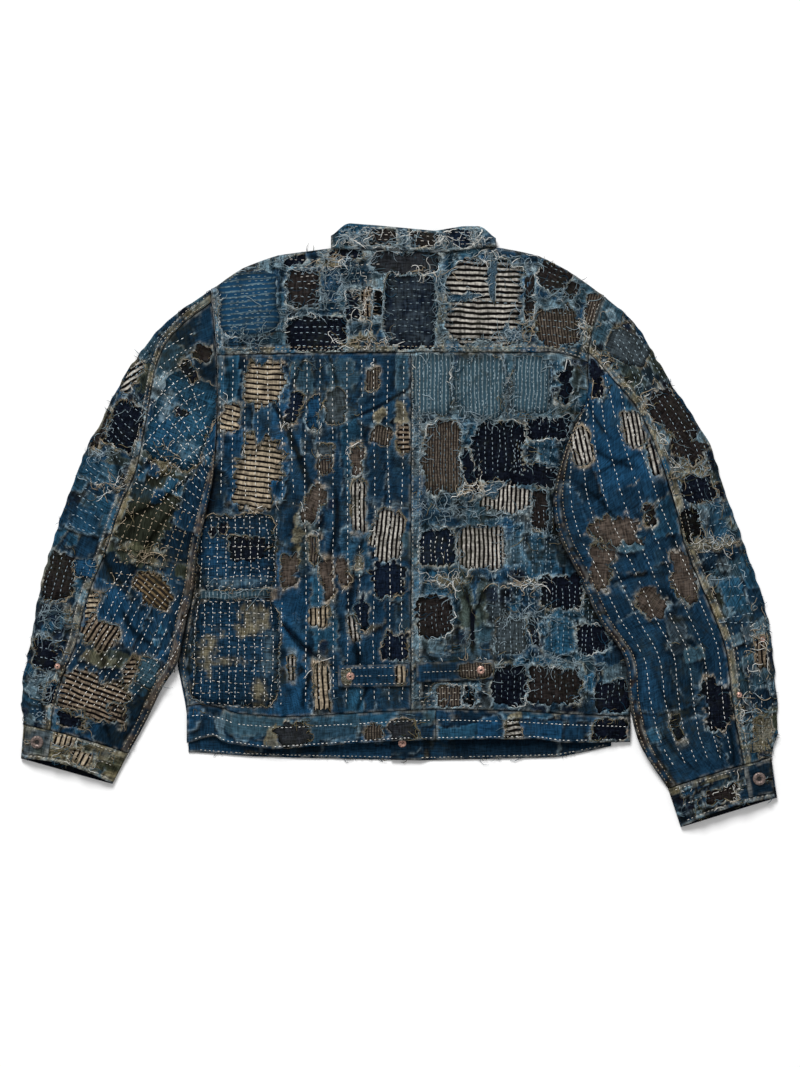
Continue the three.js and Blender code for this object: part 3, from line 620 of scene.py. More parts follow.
# Cloth that shows through a hole (under) or is sewn on (laid): middle, size, turn, how square its
# outline is, how ragged, the direction of its stripes, and the part's node that it stands for
HOLES = table("panel cloth way x y width depth turn square rag lay node", """
yoke:
  blue_rib laid -189 277 72 80 4 3.5 3 0 patch_yoke_ribbed
  umber under -119 295 42 48 0 3.4 3 0 patch_yoke_dark_upper
  night under -103 239 74 46 0 3 3 0 patch_yoke_dark_lower
  navy under 14 267 66 92 0 5 3 0 patch_yoke_navy
  black_stripe under 108 279 94 106 -2 4 5 0 patch_yoke_stripe
  brown_rib under 198 248 54 50 8 2.6 4 90 patch_yoke_brown
  frayed over 117 308 9 58 0 4 4 0
  frayed over 84 285 48 8 2 4 4 0
  frayed over 140 238 34 16 -8 3 5 0
  night under -57 274 18 36 0 4 3 0
  tan_stripe under -40 278 14 42 0 5 2 90
  soot under -27 278 10 34 0 5 2 0
  charcoal under 9 327 84 28 0 6 2 0
  umber under 163 286 14 62 0 6 1 0
  umber under 196 312 38 40 -30 4 4 0
  brown_rib under 243 270 22 46 -12 5 3 90
  night under -130 331 28 12 12 3 3 0
  night under -66 338 46 12 2 3 3 0
  umber under 216 292 14 26 -34 4 3 0
back_left:
  cream_stripe under -168 177 54 58 -4 3 7 0 patch_back_stripe_upper
  cream_stripe under -176 62 54 86 -8 2.6 9 0 patch_back_stripe_lower
  indigo laid -201 -35 96 94 2 5 3 0 patch_back_grid_upper
  indigo laid -203 -160 106 132 -2 6 3 0 patch_back_grid_lower
  slate_rib laid -206 -86 92 12 1 6 2 90
  night under -186 -30 52 28 -4 3 5 0
  night under -226 -6 22 16 0 3 4 0
  brown under -138 -56 22 44 0 3 4 0
  cream_stripe under -210 132 22 38 -12 3 4 0
  slate under -78 148 26 44 2 4 3 0
  navy under -132 146 16 40 -16 3 4 0
  bright under -106 140 18 44 4 3 4 0
  brown_rib under -33 182 20 30 0 3 2.5 90
  brown_rib under -22 112 24 24 -8 4 2 90
  brown_rib under -92 76 18 24 6 2.5 2 90
  slate under -92 95 20 12 4 4 2 0
  brown under -106 28 24 50 -22 3 4 0
  brown under -52 80 16 44 0 5 3 0
  bone_stripe under -50 24 19 66 0 6 1.5 90
  bone_stripe under -14 -14 36 62 -6 4 4 90
  tan_stripe under 6 108 15 34 0 5 2 0
  navy under -14 -66 46 42 -6 3 6 0
  navy under -4 -152 36 36 0 4 4 0
  cream_stripe under -96 -204 20 68 2 6 2 90
  bone_stripe under -134 -178 9 32 0 5 1 90
  cream_stripe under -99 -114 24 24 0 4 3 90
  bone_stripe under -57 -128 14 32 8 4 2 90
  brown_rib under -106 -32 13 40 0 4 3 90
  brown under -89 -66 16 52 4 4 3 0
  brown under -70 -58 14 34 12 3 3 0
  navy under -46 -110 14 40 4 3 4 0
  khaki under -50 -46 11 16 0 3 2 0
back_right:
  brown_rib under 54 85 48 88 0 4 4 90 patch_back_brown
  night under 124 92 64 78 -2 4 5 0 patch_back_navy
  bone_stripe under 134 34 58 42 -12 3 5 98 patch_back_stripe_right
  frayed over 118 46 22 16 10 3 5 0
  slate_rib laid 41 175 48 74 0 7 3 90
  slate_rib laid 101 173 64 76 0 7 4 90
  slate_rib laid 164 176 50 70 -3 6 4 90
  umber under 195 -200 66 48 0 5 4 0 patch_back_dark_low
  night under 90 68 22 54 0 3 5 0
  night under 170 62 56 28 -10 3 5 0
  night under 188 121 58 28 4 4 4 0
  umber under 176 18 22 50 0 5 3 0
  bone_stripe under 104 -28 60 54 0 4 3 90
  navy under 48 -28 46 46 0 5 3 0
  umber under 44 -114 44 52 4 4 4 0
  slate laid 140 -138 38 44 0 5 2 0
  night under 202 -84 54 42 0 4 4 0
  night under 242 -142 42 36 0 3 4 0
  night under 138 -200 44 50 0 5 3 0
  night under 266 -214 42 38 0 5 3 0
  brown_rib under 62 -213 30 28 0 5 2 90
  soot under 88 -213 16 26 0 4 3 0
  night under 168 -132 12 38 6 3 3 0
  khaki laid 62 -72 26 10 -8 3 4 0
  khaki laid 168 -72 22 8 -8 3 3 0
  night under 208 178 18 50 -14 3 5 0
waistband_back_left:
  charcoal under -132 -259 44 30 10 3 4 0
  brown_rib under -32 -260 24 22 0 3 3 90
  charcoal under 6 -254 32 28 0 3 3 0
waistband_back_right:
  black_stripe under 142 -255 20 24 8 5 2 0
  night under 264 -256 40 28 0 3 4 0
sleeve_left_top:
  night under -342 124 44 58 -24 5 3 0 patch_sleeve_left_navy
  black_stripe under -337 186 20 42 -32 4 3 62
sleeve_left_under:
  blue laid -270 130 76 112 -20 4 3 0 patch_sleeve_left_lattice
sleeve_left_top:
  umber under -427 -66 40 60 -8 5 4 0 patch_sleeve_left_brown
sleeve_left_under:
  night under -262 192 14 26 30 3 3 0
  night under -272 140 12 20 50 3 3 0
  umber under -246 216 22 22 -20 4 3 0
sleeve_left_top:
  umber under -374 122 20 48 -26 5 3 0
sleeve_left_under:
  clay_stripe under -306 -80 48 36 -40 3 5 0
  tan_stripe under -376 -134 52 36 -14 3 6 70
  cream_stripe under -384 -102 15 40 -16 4 3 20
  tan_stripe under -384 -214 96 50 -20 3 6 0
  tan_stripe under -336 -184 14 42 -22 4 3 20
  umber under -350 -236 22 22 0 4 3 0
  night under -409 -244 36 16 -14 4 3 0
  teal laid -314 -184 26 34 -24 4 2 0
sleeve_left_top:
  bright laid -390 -54 30 22 -6 5 2 0
  night under -444 -160 30 44 6 3 5 0
  night under -432 -210 22 34 6 3 5 0
  khaki laid -412 -112 10 18 -10 3 3 0
cuff_left:
  cream_stripe under -416 -264 26 26 -8 5 2 80
  cream_stripe under -396 -290 28 18 -16 4 2 80
sleeve_right_top:
  umber under 344 136 76 46 -40 4 5 0 patch_sleeve_right_dark
sleeve_right_under:
  brown under 270 -6 58 40 10 2.6 7 90 patch_sleeve_right_brown
  brown under 252 -54 26 58 -4 3 5 90
  bone_stripe under 227 98 26 46 12 3 2 90
  bone_stripe under 291 119 28 44 8 3 2.5 92
  black_stripe under 316 86 13 50 14 5 2 90
  brown under 315 -98 44 30 -34 2.6 4 90
  brown under 354 -66 28 62 6 3 4 90
  night under 245 184 20 46 8 2.6 5 0
  night under 397 -224 36 58 8 2.6 7 0
  night under 346 -252 12 34 16 3 3 0
  umber under 312 14 16 26 -8 4 3 0
sleeve_right_top:
  slate laid 286 221 52 38 -22 5 2 0
  umber under 362 98 44 28 -34 3 5 0
  night under 373 46 40 34 -6 4 4 0
  soot under 364 2 26 44 14 4 4 0
  night under 406 46 18 24 20 3 3 0
  khaki laid 404 -22 56 9 6 4 4 0
  khaki laid 372 -26 22 14 6 3 4 0
  tan_stripe under 452 -158 16 40 2 5 2 90
  khaki under 455 -262 28 42 0 4 4 0
cuff_right:
  umber under 404 -336 40 18 14 4 3 0
cinch_left:
  cream_stripe laid 2 -187 14 22 0 6 1 90
cinch_right:
  brown_rib laid 95 -181 40 18 2 5 1.5 90
cinch_left:
  khaki laid -66 -189 14 20 0 4 1.5 0
cuff_left_end:
  soot laid -463 -271 9 3 -8 5 0.3 0
cuff_right_end:
  soot laid 462 -317 9 3 14 5 0.3 0
collar_back:
  umber under -20 359 32 22 -2 5 2 0
  umber under 32 357 36 20 0 5 2 0
  navy under 76 357 34 22 2 5 2 0
""")
HALO = 2.6  # how far the pale worn cloth reaches from a hole
LAID_WEAR = 0.5  # how worn a panel is round a laid patch, next to round a hole
HALO_WARM = {"yoke": 0.25, "back_right": 0.25, "collar_back": 0.2}  # its share of khaki, where that is little
USUAL_WARM = 0.75  # its share of khaki elsewhere
FRAY_SHARE = 0.62  # how much of a panel's usual fray shows away from edges
SCRAP_SHADOW = {"drop": 2.2, "width": 1.5, "strength": 0.88}  # the painted shadow under a scrap's lower edge, a dark line
SLEEVE_SHADOW = {"reach": 9.0, "strength": 0.85}  # the painted shadow on the body beside a sleeve, a dark line
RIM = {"rise": 0.9, "at": 1.3, "width": 1.7, "sink": 0.9}  # the raised edge of a hole and the fall inside it

# Broad patches of another shade in the cloth itself, and one painted shadow: the yoke's night band at y 343, under the
# collar's edge
TINTS = table("panel ink x y width depth turn square rag strength", """
back_right:
  slate 42 182 50 66 0 6 3 0.8
  slate 104 182 52 70 0 6 3 0.8
  blue 180 180 56 56 -4 4 4 0.8
  moss 212 168 22 70 -14 3 4 0.8
  blue 180 84 40 44 0 5 4 0.8
  indigo 60 10 70 24 0 4 4 0.7
  teal 100 10 50 40 30 4 4 0.7
  blue 170 -40 60 56 0 4 4 0.6
  olive 84 -104 20 86 8 3 4 0.7
  olive 104 -92 16 56 -8 3 4 0.6
  blue 200 -138 44 44 0 5 3 0.8
  indigo 70 -166 100 20 2 6 2 0.6
back_left:
  teal -120 186 26 44 4 4 3 0.6
  teal -70 190 30 40 0 4 4 0.6
  bright -205 95 40 60 0 4 3 0.5
  blue -55 -30 34 60 0 5 3 0.5
  olive -118 -20 26 80 0 3 6 0.45
  pale -208 -85 88 10 2 5 3 0.55
  bright -140 120 40 70 0 4 3 0.6
  teal 4 190 16 50 0 5 2 0.7
yoke:
  indigo -60 240 40 40 0 4 4 0.5
  khaki -40 228 60 18 0 4 4 0.7
  khaki -86 330 30 18 8 3 4 0.7
  khaki 52 256 14 60 2 4 3 0.6
  indigo 180 330 60 20 -18 4 3 0.6
  bright 52 330 18 30 0 5 2 0.7
  night -10 343 140 8 0 5 2 0.9
sleeve_left_under:
  olive -318 26 74 150 -22 3 7 0.75
  moss -312 24 70 116 -20 4 6 0.95
  khaki -350 12 10 80 -24 3 4 0.7
  khaki -292 80 28 20 8 3 5 0.75
  khaki -320 -30 52 8 -8 4 3 0.7
  khaki -316 -44 44 6 -10 4 3 0.6
  khaki -372 -168 46 16 -8 3 5 0.65
  khaki -406 -120 10 60 -14 3 4 0.6
back_right:
  khaki 66 -70 34 9 -6 3 4 0.7
  moss 222 110 16 60 -12 3 4 0.7
back_left:
  khaki -24 134 12 26 0 3 4 0.7
  khaki 4 138 14 30 0 4 3 0.65
  khaki -126 -8 10 60 0 3 4 0.55
sleeve_left_under:
  teal -296 208 50 50 -30 4 4 0.6
  pale -290 176 40 22 24 3 5 0.5
  olive -360 -166 50 20 -10 3 5 0.6
  bright -345 -110 60 70 -24 5 3 0.5
sleeve_left_top:
  olive -318 180 18 70 -18 3 5 0.7
  olive -356 70 30 40 -20 3 5 0.6
  blue -372 66 60 30 -22 6 2 0.6
  indigo -400 10 56 34 -18 6 2 0.6
sleeve_right_under:
  blue 330 10 40 50 12 5 3 0.6
  slate 348 -136 24 46 12 4 3 0.7
  deep 420 -270 36 60 14 4 4 0.7
  deep 360 -180 40 80 14 4 4 0.45
sleeve_right_top:
  olive 330 196 60 20 -44 4 4 0.6
  khaki 366 70 44 14 8 4 4 0.6
  blue 404 0 40 60 14 5 2 0.6
waistband_back_left:
  teal -190 -250 40 34 0 5 3 0.5
  teal -84 -250 70 36 0 8 3 0.5
  faded -222 -252 10 34 4 5 2 0.6
  khaki -158 -262 14 26 -16 3 4 0.6
waistband_back_right:
  khaki 146 -238 16 10 0 4 2 0.8
""")
# The same on laid patches
PATCH_TINTS = table("panel ink x y width depth turn square rag strength", """
patch_back_grid_lower:
  khaki -183 -118 44 40 4 3 6 0.75
  khaki -236 -158 26 56 -24 2.6 7 0.7
  khaki -218 -170 60 10 4 3 4 0.6
  khaki -174 -214 18 40 0 4 4 0.75
  faded -160 -160 18 60 0 3 5 0.5
  deep -206 -204 50 40 0 3 5 0.6
patch_back_grid_upper:
  deep -206 -2 80 26 0 3 6 0.7
  faded -204 -72 90 12 0 4 4 0.55
  bright -226 -40 30 50 0 3 5 0.6
  navy -168 -44 26 40 0 3 6 0.7
patch_yoke_ribbed:
  bright -206 300 30 30 4 3 5 0.6
  faded -160 282 12 70 4 3 5 0.5
  teal -190 250 60 22 4 3 5 0.6
patch_yoke_navy:
  slate 14 267 60 88 0 4 4 0.5
patch_back_brown:
  umber 54 112 46 24 0 3 4 0.6
patch_sleeve_left_lattice:
  deep -252 160 40 40 -20 3 6 0.7
  bright -290 110 40 60 -20 3 6 0.6
  pale -288 150 24 30 -20 3 6 0.5
  faded -262 96 30 20 -20 3 6 0.5
""")
# Bands of another shade along a panel's edge: width, ink and strength
EDGE_BANDS = table("panel edge width ink strength", """
sleeve_right_under first_column 14 umber 1.3
sleeve_left_under first_column 12 brown 1.2
sleeve_right_top first_column 10 khaki 0.7
sleeve_left_top first_column 9 khaki 0.5
back_left first_column 10 slate 0.7
back_right last_column 12 faded 0.45
yoke first_row 8 khaki 0.5
yoke last_column 10 khaki 0.6
yoke first_column 9 faded 0.5
cuff_left first_row 40 khaki 0.7
cuff_right first_row 9 khaki 0.6
""")
# Scraps laid edge to edge over a panel: their usual size, their turn and their shades, some named twice
QUILT = table("panel width depth turn seed inks", """
yoke 46 34 0 5 indigo blue bright faded deep teal indigo
back_left 36 150 0 6 indigo bright indigo blue bright indigo
back_right 48 44 0 7 teal blue indigo slate deep bright faded deep
waistband_back_left 120 44 0 8 indigo bright teal blue
waistband_back_right 120 44 0 9 indigo bright indigo blue
sleeve_left_under 62 90 -22 10 bright indigo indigo bright deep
sleeve_left_top 40 38 -20 11 bright indigo blue deep navy teal
sleeve_right_under 96 150 16 12 indigo indigo bright indigo teal
sleeve_right_top 40 40 18 13 indigo blue deep teal olive navy
cuff_left 26 20 -14 14 slate khaki teal blue olive
cuff_right 28 22 16 15 deep night navy indigo deep
collar_back 30 20 0 16 blue indigo teal faded deep
waistband_front_left 120 60 0 17 indigo deep indigo
waistband_front_right 120 60 0 18 indigo indigo deep
""")
# Small scraps scattered over a panel: how many, their sizes and their shades
SCATTER = table("panel count small large turn seed inks", """
yoke 46 7 24 0 25 indigo faded slate navy deep night bright
back_left 14 8 24 0 26 indigo blue teal bright navy
back_right 90 7 26 0 27 slate indigo navy blue night faded
waistband_back_left 3 8 22 0 28 deep blue teal
waistband_back_right 3 8 22 0 29 deep blue teal
sleeve_left_under 18 8 26 -24 30 deep blue bright olive navy
sleeve_left_top 56 7 24 -20 31 navy faded slate blue night
sleeve_right_under 8 10 30 16 32 deep blue teal
sleeve_right_top 60 7 24 18 33 navy faded slate blue olive night
cuff_left 14 6 16 -14 34 slate khaki blue navy
cuff_right 14 6 16 14 35 navy faded night deep
collar_back 22 6 20 0 36 indigo pale slate navy night
""")
TEAR = records("length share", (11, 0.85), (4.5, 0.5))  # steps of a torn edge
TORN_LEVELS = 64
# A torn outline: how much squarer it is than its row says, its fine raggedness, and how far it can be felt
OUTLINE = {"square": 1.5, "fine": 0.35, "fine_size": 3.5, "margin": 8}


def torn_steps(place, length, seed):
    """Uneven steps from -1 to 1 along a line, as cloth tears along its yarns."""
    levels = np.random.default_rng(seed).uniform(-1, 1, TORN_LEVELS)
    count = place / length + 0.3 * np.sin(place / length * 1.9 + seed)
    cell = np.floor(count).astype(int)
    before, after = levels[cell % TORN_LEVELS], levels[(cell + 1) % TORN_LEVELS]
    return mix(before, after, ramp(0.75, 1, count - cell))


def outline_distance(shape, x, y, seed):
    """How far a place is outside a patch's torn outline, below 0 inside it."""
    u, v = turned(x - shape["x"], y - shape["y"], -shape["turn"])
    across, down = shape["width"] / 2, shape["depth"] / 2
    torn_u, torn_v = u.copy(), v.copy()
    for step, row in enumerate(TEAR):
        length, reach = row["length"], shape["rag"] * row["share"]
        key = seed + 11 * step
        torn_u += reach * np.where(u > 0, torn_steps(v, length, key), torn_steps(v, length, key + 3))
        torn_v += reach * np.where(v > 0, torn_steps(u, length, key + 5), torn_steps(u, length, key + 7))
    power = shape["square"] + OUTLINE["square"]
    ring = (np.abs(torn_u / across) ** power + np.abs(torn_v / down) ** power) ** (1 / power)
    fine = OUTLINE["fine"] * shape["rag"] * lumps(x, y, OUTLINE["fine_size"], seed)
    return (ring - 1) * min(across, down) + fine


def reached(shape, x, y):
    """The points of a grid that a shape can touch."""
    reach = math.hypot(shape["width"], shape["depth"]) / 2 + 2 * shape["rag"] + OUTLINE["margin"]
    return np.nonzero((np.abs(x - shape["x"]) < reach) & (np.abs(y - shape["y"]) < reach))


def shade_name(panel):
    """The row of SHADES for a panel."""
    return next(name for name in (panel, panel.rsplit("_", 1)[0], "front") if name in SHADES)


def holes_on(panel):
    return [(seed, hole) for seed, hole in enumerate(HOLES) if hole["panel"] == panel]


def hole_relief(panel, x, y):
    """Sunk holes with raised edges, and scraps that stand up or are worn down."""
    total = np.zeros_like(x)
    for seed, hole in holes_on(panel):
        if hole["way"] != "under":
            continue
        at = reached(hole, x, y)
        away = outline_distance(hole, x[at], y[at], seed)
        total[at] += RIM["rise"] * bell((away - RIM["at"]) / RIM["width"])
        total[at] -= RIM["sink"] * ramp(0.5, -2.0, away)
    for scrap in scraps_on(panel, x, y):
        at = reached(scrap, x, y)
        away = outline_distance(scrap, x[at], y[at], scrap["seed"])
        total[at] += scrap["rise"] * ramp(0.9, -0.9, away)
        total[at] += SCRAP_CURL["rise"] * bell((away + SCRAP_CURL["inside"]) / SCRAP_CURL["width"])
    return total


SCRAPS = {}
SCRAP_CURL = {"rise": 0.35, "inside": 1.2, "width": 1.5}  # how the edge of a scrap curls up
SCRAP_RAG = {"quilt": 2.6, "scatter": 2.0}  # how ragged the scraps are
SCRAP = {"turn": 7, "square": 4, "strength": (0.8, 1.0), "rise": (-0.45, 0.65), "seed": (500, 4000)}
QUILTED = {"shift": 0.35, "size": (0.65, 1.45)}  # next to the usual size
TINT_SCRAP = {"seed": 300, "rise": 0.2}  # the first seed of the tints, and how far they stand up


def seeded_scrap(chance, place, size, row, rag):
    """A scrap of a seeded shade, strength and height, turned about as its table row says."""
    inks = row["inks"].split()
    return {
        "x": place[0], "y": place[1], "width": size[0], "depth": size[1],
        "rag": rag, "square": SCRAP["square"],
        "turn": row["turn"] + chance.uniform(-SCRAP["turn"], SCRAP["turn"]),
        "ink": inks[chance.integers(len(inks))], "strength": chance.uniform(*SCRAP["strength"]),
        "rise": chance.uniform(*SCRAP["rise"]), "seed": int(chance.integers(*SCRAP["seed"])),
    }


def quilt_scraps(row, x, y):
    """Scraps in uneven rows over a panel, each a little out of its place."""
    chance = np.random.default_rng(row["seed"])
    usual = np.array([row["width"], row["depth"]])
    u, v = turned(x, y, -row["turn"])
    found = []
    for across in np.arange(u.min(), u.max() + usual[0], usual[0]):
        for down in np.arange(v.min(), v.max() + usual[1], usual[1]):
            shift = chance.uniform(-QUILTED["shift"], QUILTED["shift"], 2) * usual
            place = turned(across + shift[0], down + shift[1], row["turn"])
            size = chance.uniform(*QUILTED["size"], 2) * usual
            found.append(seeded_scrap(chance, place, size, row, SCRAP_RAG["quilt"]))
    return [found[step] for step in chance.permutation(len(found))]


def scraps_on(panel, x, y):
    """The scraps of a panel, placed once on its grid: laid edge to edge, listed and scattered."""
    if panel in SCRAPS:
        return SCRAPS[panel]
    found = []
    for row in rows_for(QUILT, panel):
        found += quilt_scraps(row, x, y)
    for step, tint in enumerate(TINTS):
        if tint["panel"] == panel:
            found.append(dict(tint, seed=TINT_SCRAP["seed"] + step, rise=TINT_SCRAP["rise"]))
    for scatter in rows_for(SCATTER, panel):
        chance = np.random.default_rng(scatter["seed"])
        for _ in range(scatter["count"]):
            place = (chance.integers(x.shape[0]), chance.integers(x.shape[1]))
            size = chance.uniform(scatter["small"], scatter["large"], 2)
            found.append(seeded_scrap(chance, (x[place], y[place]), size, scatter, SCRAP_RAG["scatter"]))
    SCRAPS[panel] = found
    return found


def sleeve_shadow(side, x, y):
    """How dark a body panel is painted beside the sleeve that lies on it, as the sleeve's shadow."""
    along = np.linspace(1, LAST_SECTION, 120)
    edge_x, edge_y = sleeve_place(side, along, 0 * along)
    away = np.full(x.shape, 1e3)
    for spot_x, spot_y in zip(edge_x, edge_y):
        away = np.minimum(away, np.hypot(x - spot_x, y - spot_y))
    return SLEEVE_SHADOW["strength"] * bell(away / SLEEVE_SHADOW["reach"])


def broken(x, y, base, *layers):
    """A share from 0 to 1 that comes and goes: a base and layers of lumps by height, size and seed."""
    share = base
    for height, size, seed in layers:
        share = share + height * lumps(x, y, size, seed)
    return np.clip(share, 0, 1)


# How strongly each kind of wear colours a panel, and how far it frays it
WEAR = {"dark": 0.8, "pale": 0.3, "rim": 0.6, "halo": 0.85, "hem": 0.7, "seam": 0.55, "grain": 0.13}
WEAR_FRAY = {"rim": 0.45, "halo": 0.6}
STAINED = 5  # every so many scraps have a khaki edge


def paint(panel, x, y, seams, away_from):
    """The colour and fray of a panel's points; seams is 1 at a worn ridge, away_from is how far edges are."""
    row = SHADES[shade_name(panel)]
    seed = row["seed"]
    broad = lumps(x, y, 46, seed) + 0.6 * lumps(x, y, 18, seed + 1)
    fine = lumps(x, y, 7, seed + 2) + 0.7 * lumps(x, y, 3.2, seed + 3)
    tone = np.broadcast_to(INK[row["mid"]], x.shape + (3,)).copy()
    worn_edges = 0.4 + row["fray"]
    fray = FRAY_SHARE * row["fray"] * (0.75 + 0.6 * lumps(x, y, 30, seed + 4))

    def lay(colour, share, at=...):
        tone[at] = mix(tone[at], colour, np.clip(share, 0, 1)[..., None])

    lay(INK[row["dark"]], ramp(0.1, 0.9, broad) * WEAR["dark"])
    for step, scrap in enumerate(scraps_on(panel, x, y)):
        at = reached(scrap, x, y)
        near_x, near_y = x[at], y[at]
        away = outline_distance(scrap, near_x, near_y, scrap["seed"])
        patchy = broken(near_x, near_y, 0.35, (1.2, 8, scrap["seed"]))
        # painted shadow: a dark line just below each scrap's lower edge
        shadow = outline_distance(scrap, near_x, near_y + SCRAP_SHADOW["drop"], scrap["seed"])
        dark = bell(shadow / SCRAP_SHADOW["width"]) * np.clip(patchy + 0.35, 0, 1)
        lay(INK["soot"], SCRAP_SHADOW["strength"] * dark, at)
        lay(INK[scrap["ink"]], ramp(0.8, -0.8, away) * scrap["strength"], at)
        rim = bell(away + 0.5) * patchy * worn_edges
        lay(INK["pale" if step % STAINED else "khaki"], WEAR["rim"] * rim, at)
        fray[at] += WEAR_FRAY["rim"] * rim
    lay(INK[row["pale"]], ramp(0.45, 1.3, -broad + 0.6 * fine) * WEAR["pale"])
    for number, hole in holes_on(panel):
        at = reached(hole, x, y)
        near_x, near_y = x[at], y[at]
        away = outline_distance(hole, near_x, near_y, number)
        patchy = broken(near_x, near_y, 0.45, (0.9, 17, number), (0.6, 6, number + 3))
        patchy = patchy * (LAID_WEAR if hole["way"] == "laid" else 1)
        halo = bell(np.maximum(away, 0) / HALO) * patchy * worn_edges
        warm = broken(near_x, near_y, HALO_WARM.get(panel, USUAL_WARM), (0.8, 26, number + 7))[..., None]
        lay(mix(INK["faded"], INK["khaki"], warm), WEAR["halo"] * halo, at)
        hem = bell((away - 0.4) / 0.8) * np.clip(patchy + 0.15, 0, 1)
        lay(mix(INK["pale"], INK["tan"], warm), WEAR["hem"] * hem, at)
        fray[at] = (fray[at] + WEAR_FRAY["halo"] * halo) * ramp(-2.5, 0, away)
    for band in rows_for(EDGE_BANDS, panel):
        inside = ramp(band["width"] + 0.8, band["width"] - 0.8, away_from[band["edge"]])
        patchy = broken(x, y, 0.5, (0.9, 15, seed + 6), (0.6, 5, seed + 7))
        lay(INK[band["ink"]], band["strength"] * inside * patchy)
    # painted shadow of the sleeve on the back and its waistband
    if panel.startswith("back_") or panel.startswith("waistband_back_"):
        lay(INK["soot"], sleeve_shadow(panel.rsplit("_", 1)[1], x, y))
    worn = seams * broken(x, y, 0.4, (0.9, 6, seed + 5))
    lay(mix(INK["faded"], INK["cream"], 0.4), WEAR["seam"] * worn)
    tone *= (1 + WEAR["grain"] * fine)[..., None]
    return np.clip(tone, 0.003, 0.9), np.clip(fray, 0, 1)


# Meshes


def mesh_piece(name, points, faces, material, marks):
    """A piece from points in millimetres, lists of faces of three or four corners, and named point data."""
    mesh = bpy.data.meshes.new(name)
    mesh.vertices.add(len(points))
    mesh.vertices.foreach_set("co", (np.asarray(points, float) * MM).astype(np.float32).ravel())
    faces = [np.asarray(part, np.int32) for part in faces if len(part)]
    corners = np.concatenate([part.ravel() for part in faces])
    sizes = np.concatenate([np.full(len(part), part.shape[1]) for part in faces])
    mesh.loops.add(len(corners))
    mesh.loops.foreach_set("vertex_index", corners)
    mesh.polygons.add(len(sizes))
    mesh.polygons.foreach_set("loop_start", (np.cumsum(sizes) - sizes).astype(np.int32))
    mesh.polygons.foreach_set("use_smooth", np.full(len(sizes), True))
    for key, values in marks.items():
        values = np.asarray(values, np.float32)
        kind = {1: "FLOAT", 2: "FLOAT_VECTOR"}[values.ndim]
        field = "value" if kind == "FLOAT" else "vector"
        mesh.attributes.new(key, kind, "POINT").data.foreach_set(field, values.ravel())
    mesh.update(calc_edges=True)
    mesh.materials.append(MATERIAL[material])
    piece = bpy.data.objects.new(name, mesh)
    bpy.context.scene.collection.objects.link(piece)
    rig.ride(piece, "root")
    return piece


def grid_faces(rows, columns):
    """Four-cornered faces of a grid of points, counted row by row."""
    index = np.arange(rows * columns).reshape(rows, columns)
    return np.stack([index[:-1, :-1], index[:-1, 1:], index[1:, 1:], index[1:, :-1]], -1).reshape(-1, 4)


def strided(count):
    """Every few numbers up to count, with both ends."""
    return np.unique(np.append(np.arange(0, count, INNER_STRIDE), count - 1))


def facing_out(points, faces):
    """The faces, turned round if they enclose a volume below 0."""
    volume = 0.0
    for part in faces:
        for step in range(1, part.shape[1] - 1):
            a, b, c = points[part[:, 0]], points[part[:, step]], points[part[:, step + 1]]
            volume += np.einsum("ij,ij->i", a, np.cross(b, c)).sum()
    return faces if volume > 0 else [part[:, ::-1] for part in faces]


def shell(outer, inner):
    """Points and faces of a closed sheet between a fine outer grid and an inner grid of the same size."""
    rows, columns = outer.shape[:2]
    keep_rows, keep_columns = strided(rows), strided(columns)
    inside = inner[np.ix_(keep_rows, keep_columns)]
    points = np.vstack([outer.reshape(-1, 3), inside.reshape(-1, 3)])
    outer_index = np.arange(rows * columns).reshape(rows, columns)
    inner_index = rows * columns + np.arange(inside.shape[0] * inside.shape[1]).reshape(inside.shape[:2])
    back = grid_faces(*inside.shape[:2])[:, ::-1] + rows * columns
    rim = [zip_side(outer_index, inner_index, keep_rows, keep_columns, edge) for edge in range(4)]
    return points, facing_out(points, [grid_faces(rows, columns), back, np.vstack(rim)])


def zip_side(outer, inner, keep_rows, keep_columns, edge):
    """Triangles along one border between an outer grid and the inner grid made from some of its points."""
    fine = [outer[0], outer[:, -1], outer[-1, ::-1], outer[::-1, 0]][edge]
    coarse = [inner[0], inner[:, -1], inner[-1, ::-1], inner[::-1, 0]][edge]
    kept = [keep_columns, keep_rows, keep_columns, keep_rows][edge]
    last = kept[-1]
    marks = kept if edge < 2 else last - kept[::-1]
    made = []
    for step in range(len(marks) - 1):
        start, end = marks[step], marks[step + 1]
        middle = (start + end) // 2
        for k in range(start, end):
            near = coarse[step] if k < middle else coarse[step + 1]
            made.append((fine[k + 1], fine[k], near))
        made.append((fine[middle], coarse[step], coarse[step + 1]))
    return np.array(made)


def blurred(field, reach):
    """A field averaged over a square of cells."""
    width = 2 * reach + 1
    for axis in (0, 1):
        before, after = (np.repeat(np.take(field, [end], axis), reach, axis) for end in (0, -1))
        padded = np.concatenate([before, field, after], axis)
        sums = np.cumsum(np.concatenate([np.zeros_like(np.take(padded, [0], axis)), padded], axis), axis)
        count = np.arange(field.shape[axis])
        field = (np.take(sums, width + count, axis) - np.take(sums, count, axis)) / width
    return field


def run_lengths(x, y, z, axis):
    """Length of cloth from the first row or column of a grid."""
    step = np.sqrt(sum(np.diff(part, axis=axis) ** 2 for part in (x, y, z)))
    start = np.zeros_like(np.take(step, [0], axis))
    return np.concatenate([start, np.cumsum(step, axis)], axis)


# Panels: what is kept of each one for the pieces laid on it and for its declaration as a sheet
PANELS = {}
MATERIAL = {}
SEAM_FADE = 1.6  # half width of the worn lines along a felled seam
EDGE_TURN = 2.6  # how wide the turned edge of a panel is
FELL_STEP = 1.4  # half width of the step beside a felled seam
PUCKER_SEED = 71
EDGES = ("first_row", "last_row", "first_column", "last_column")
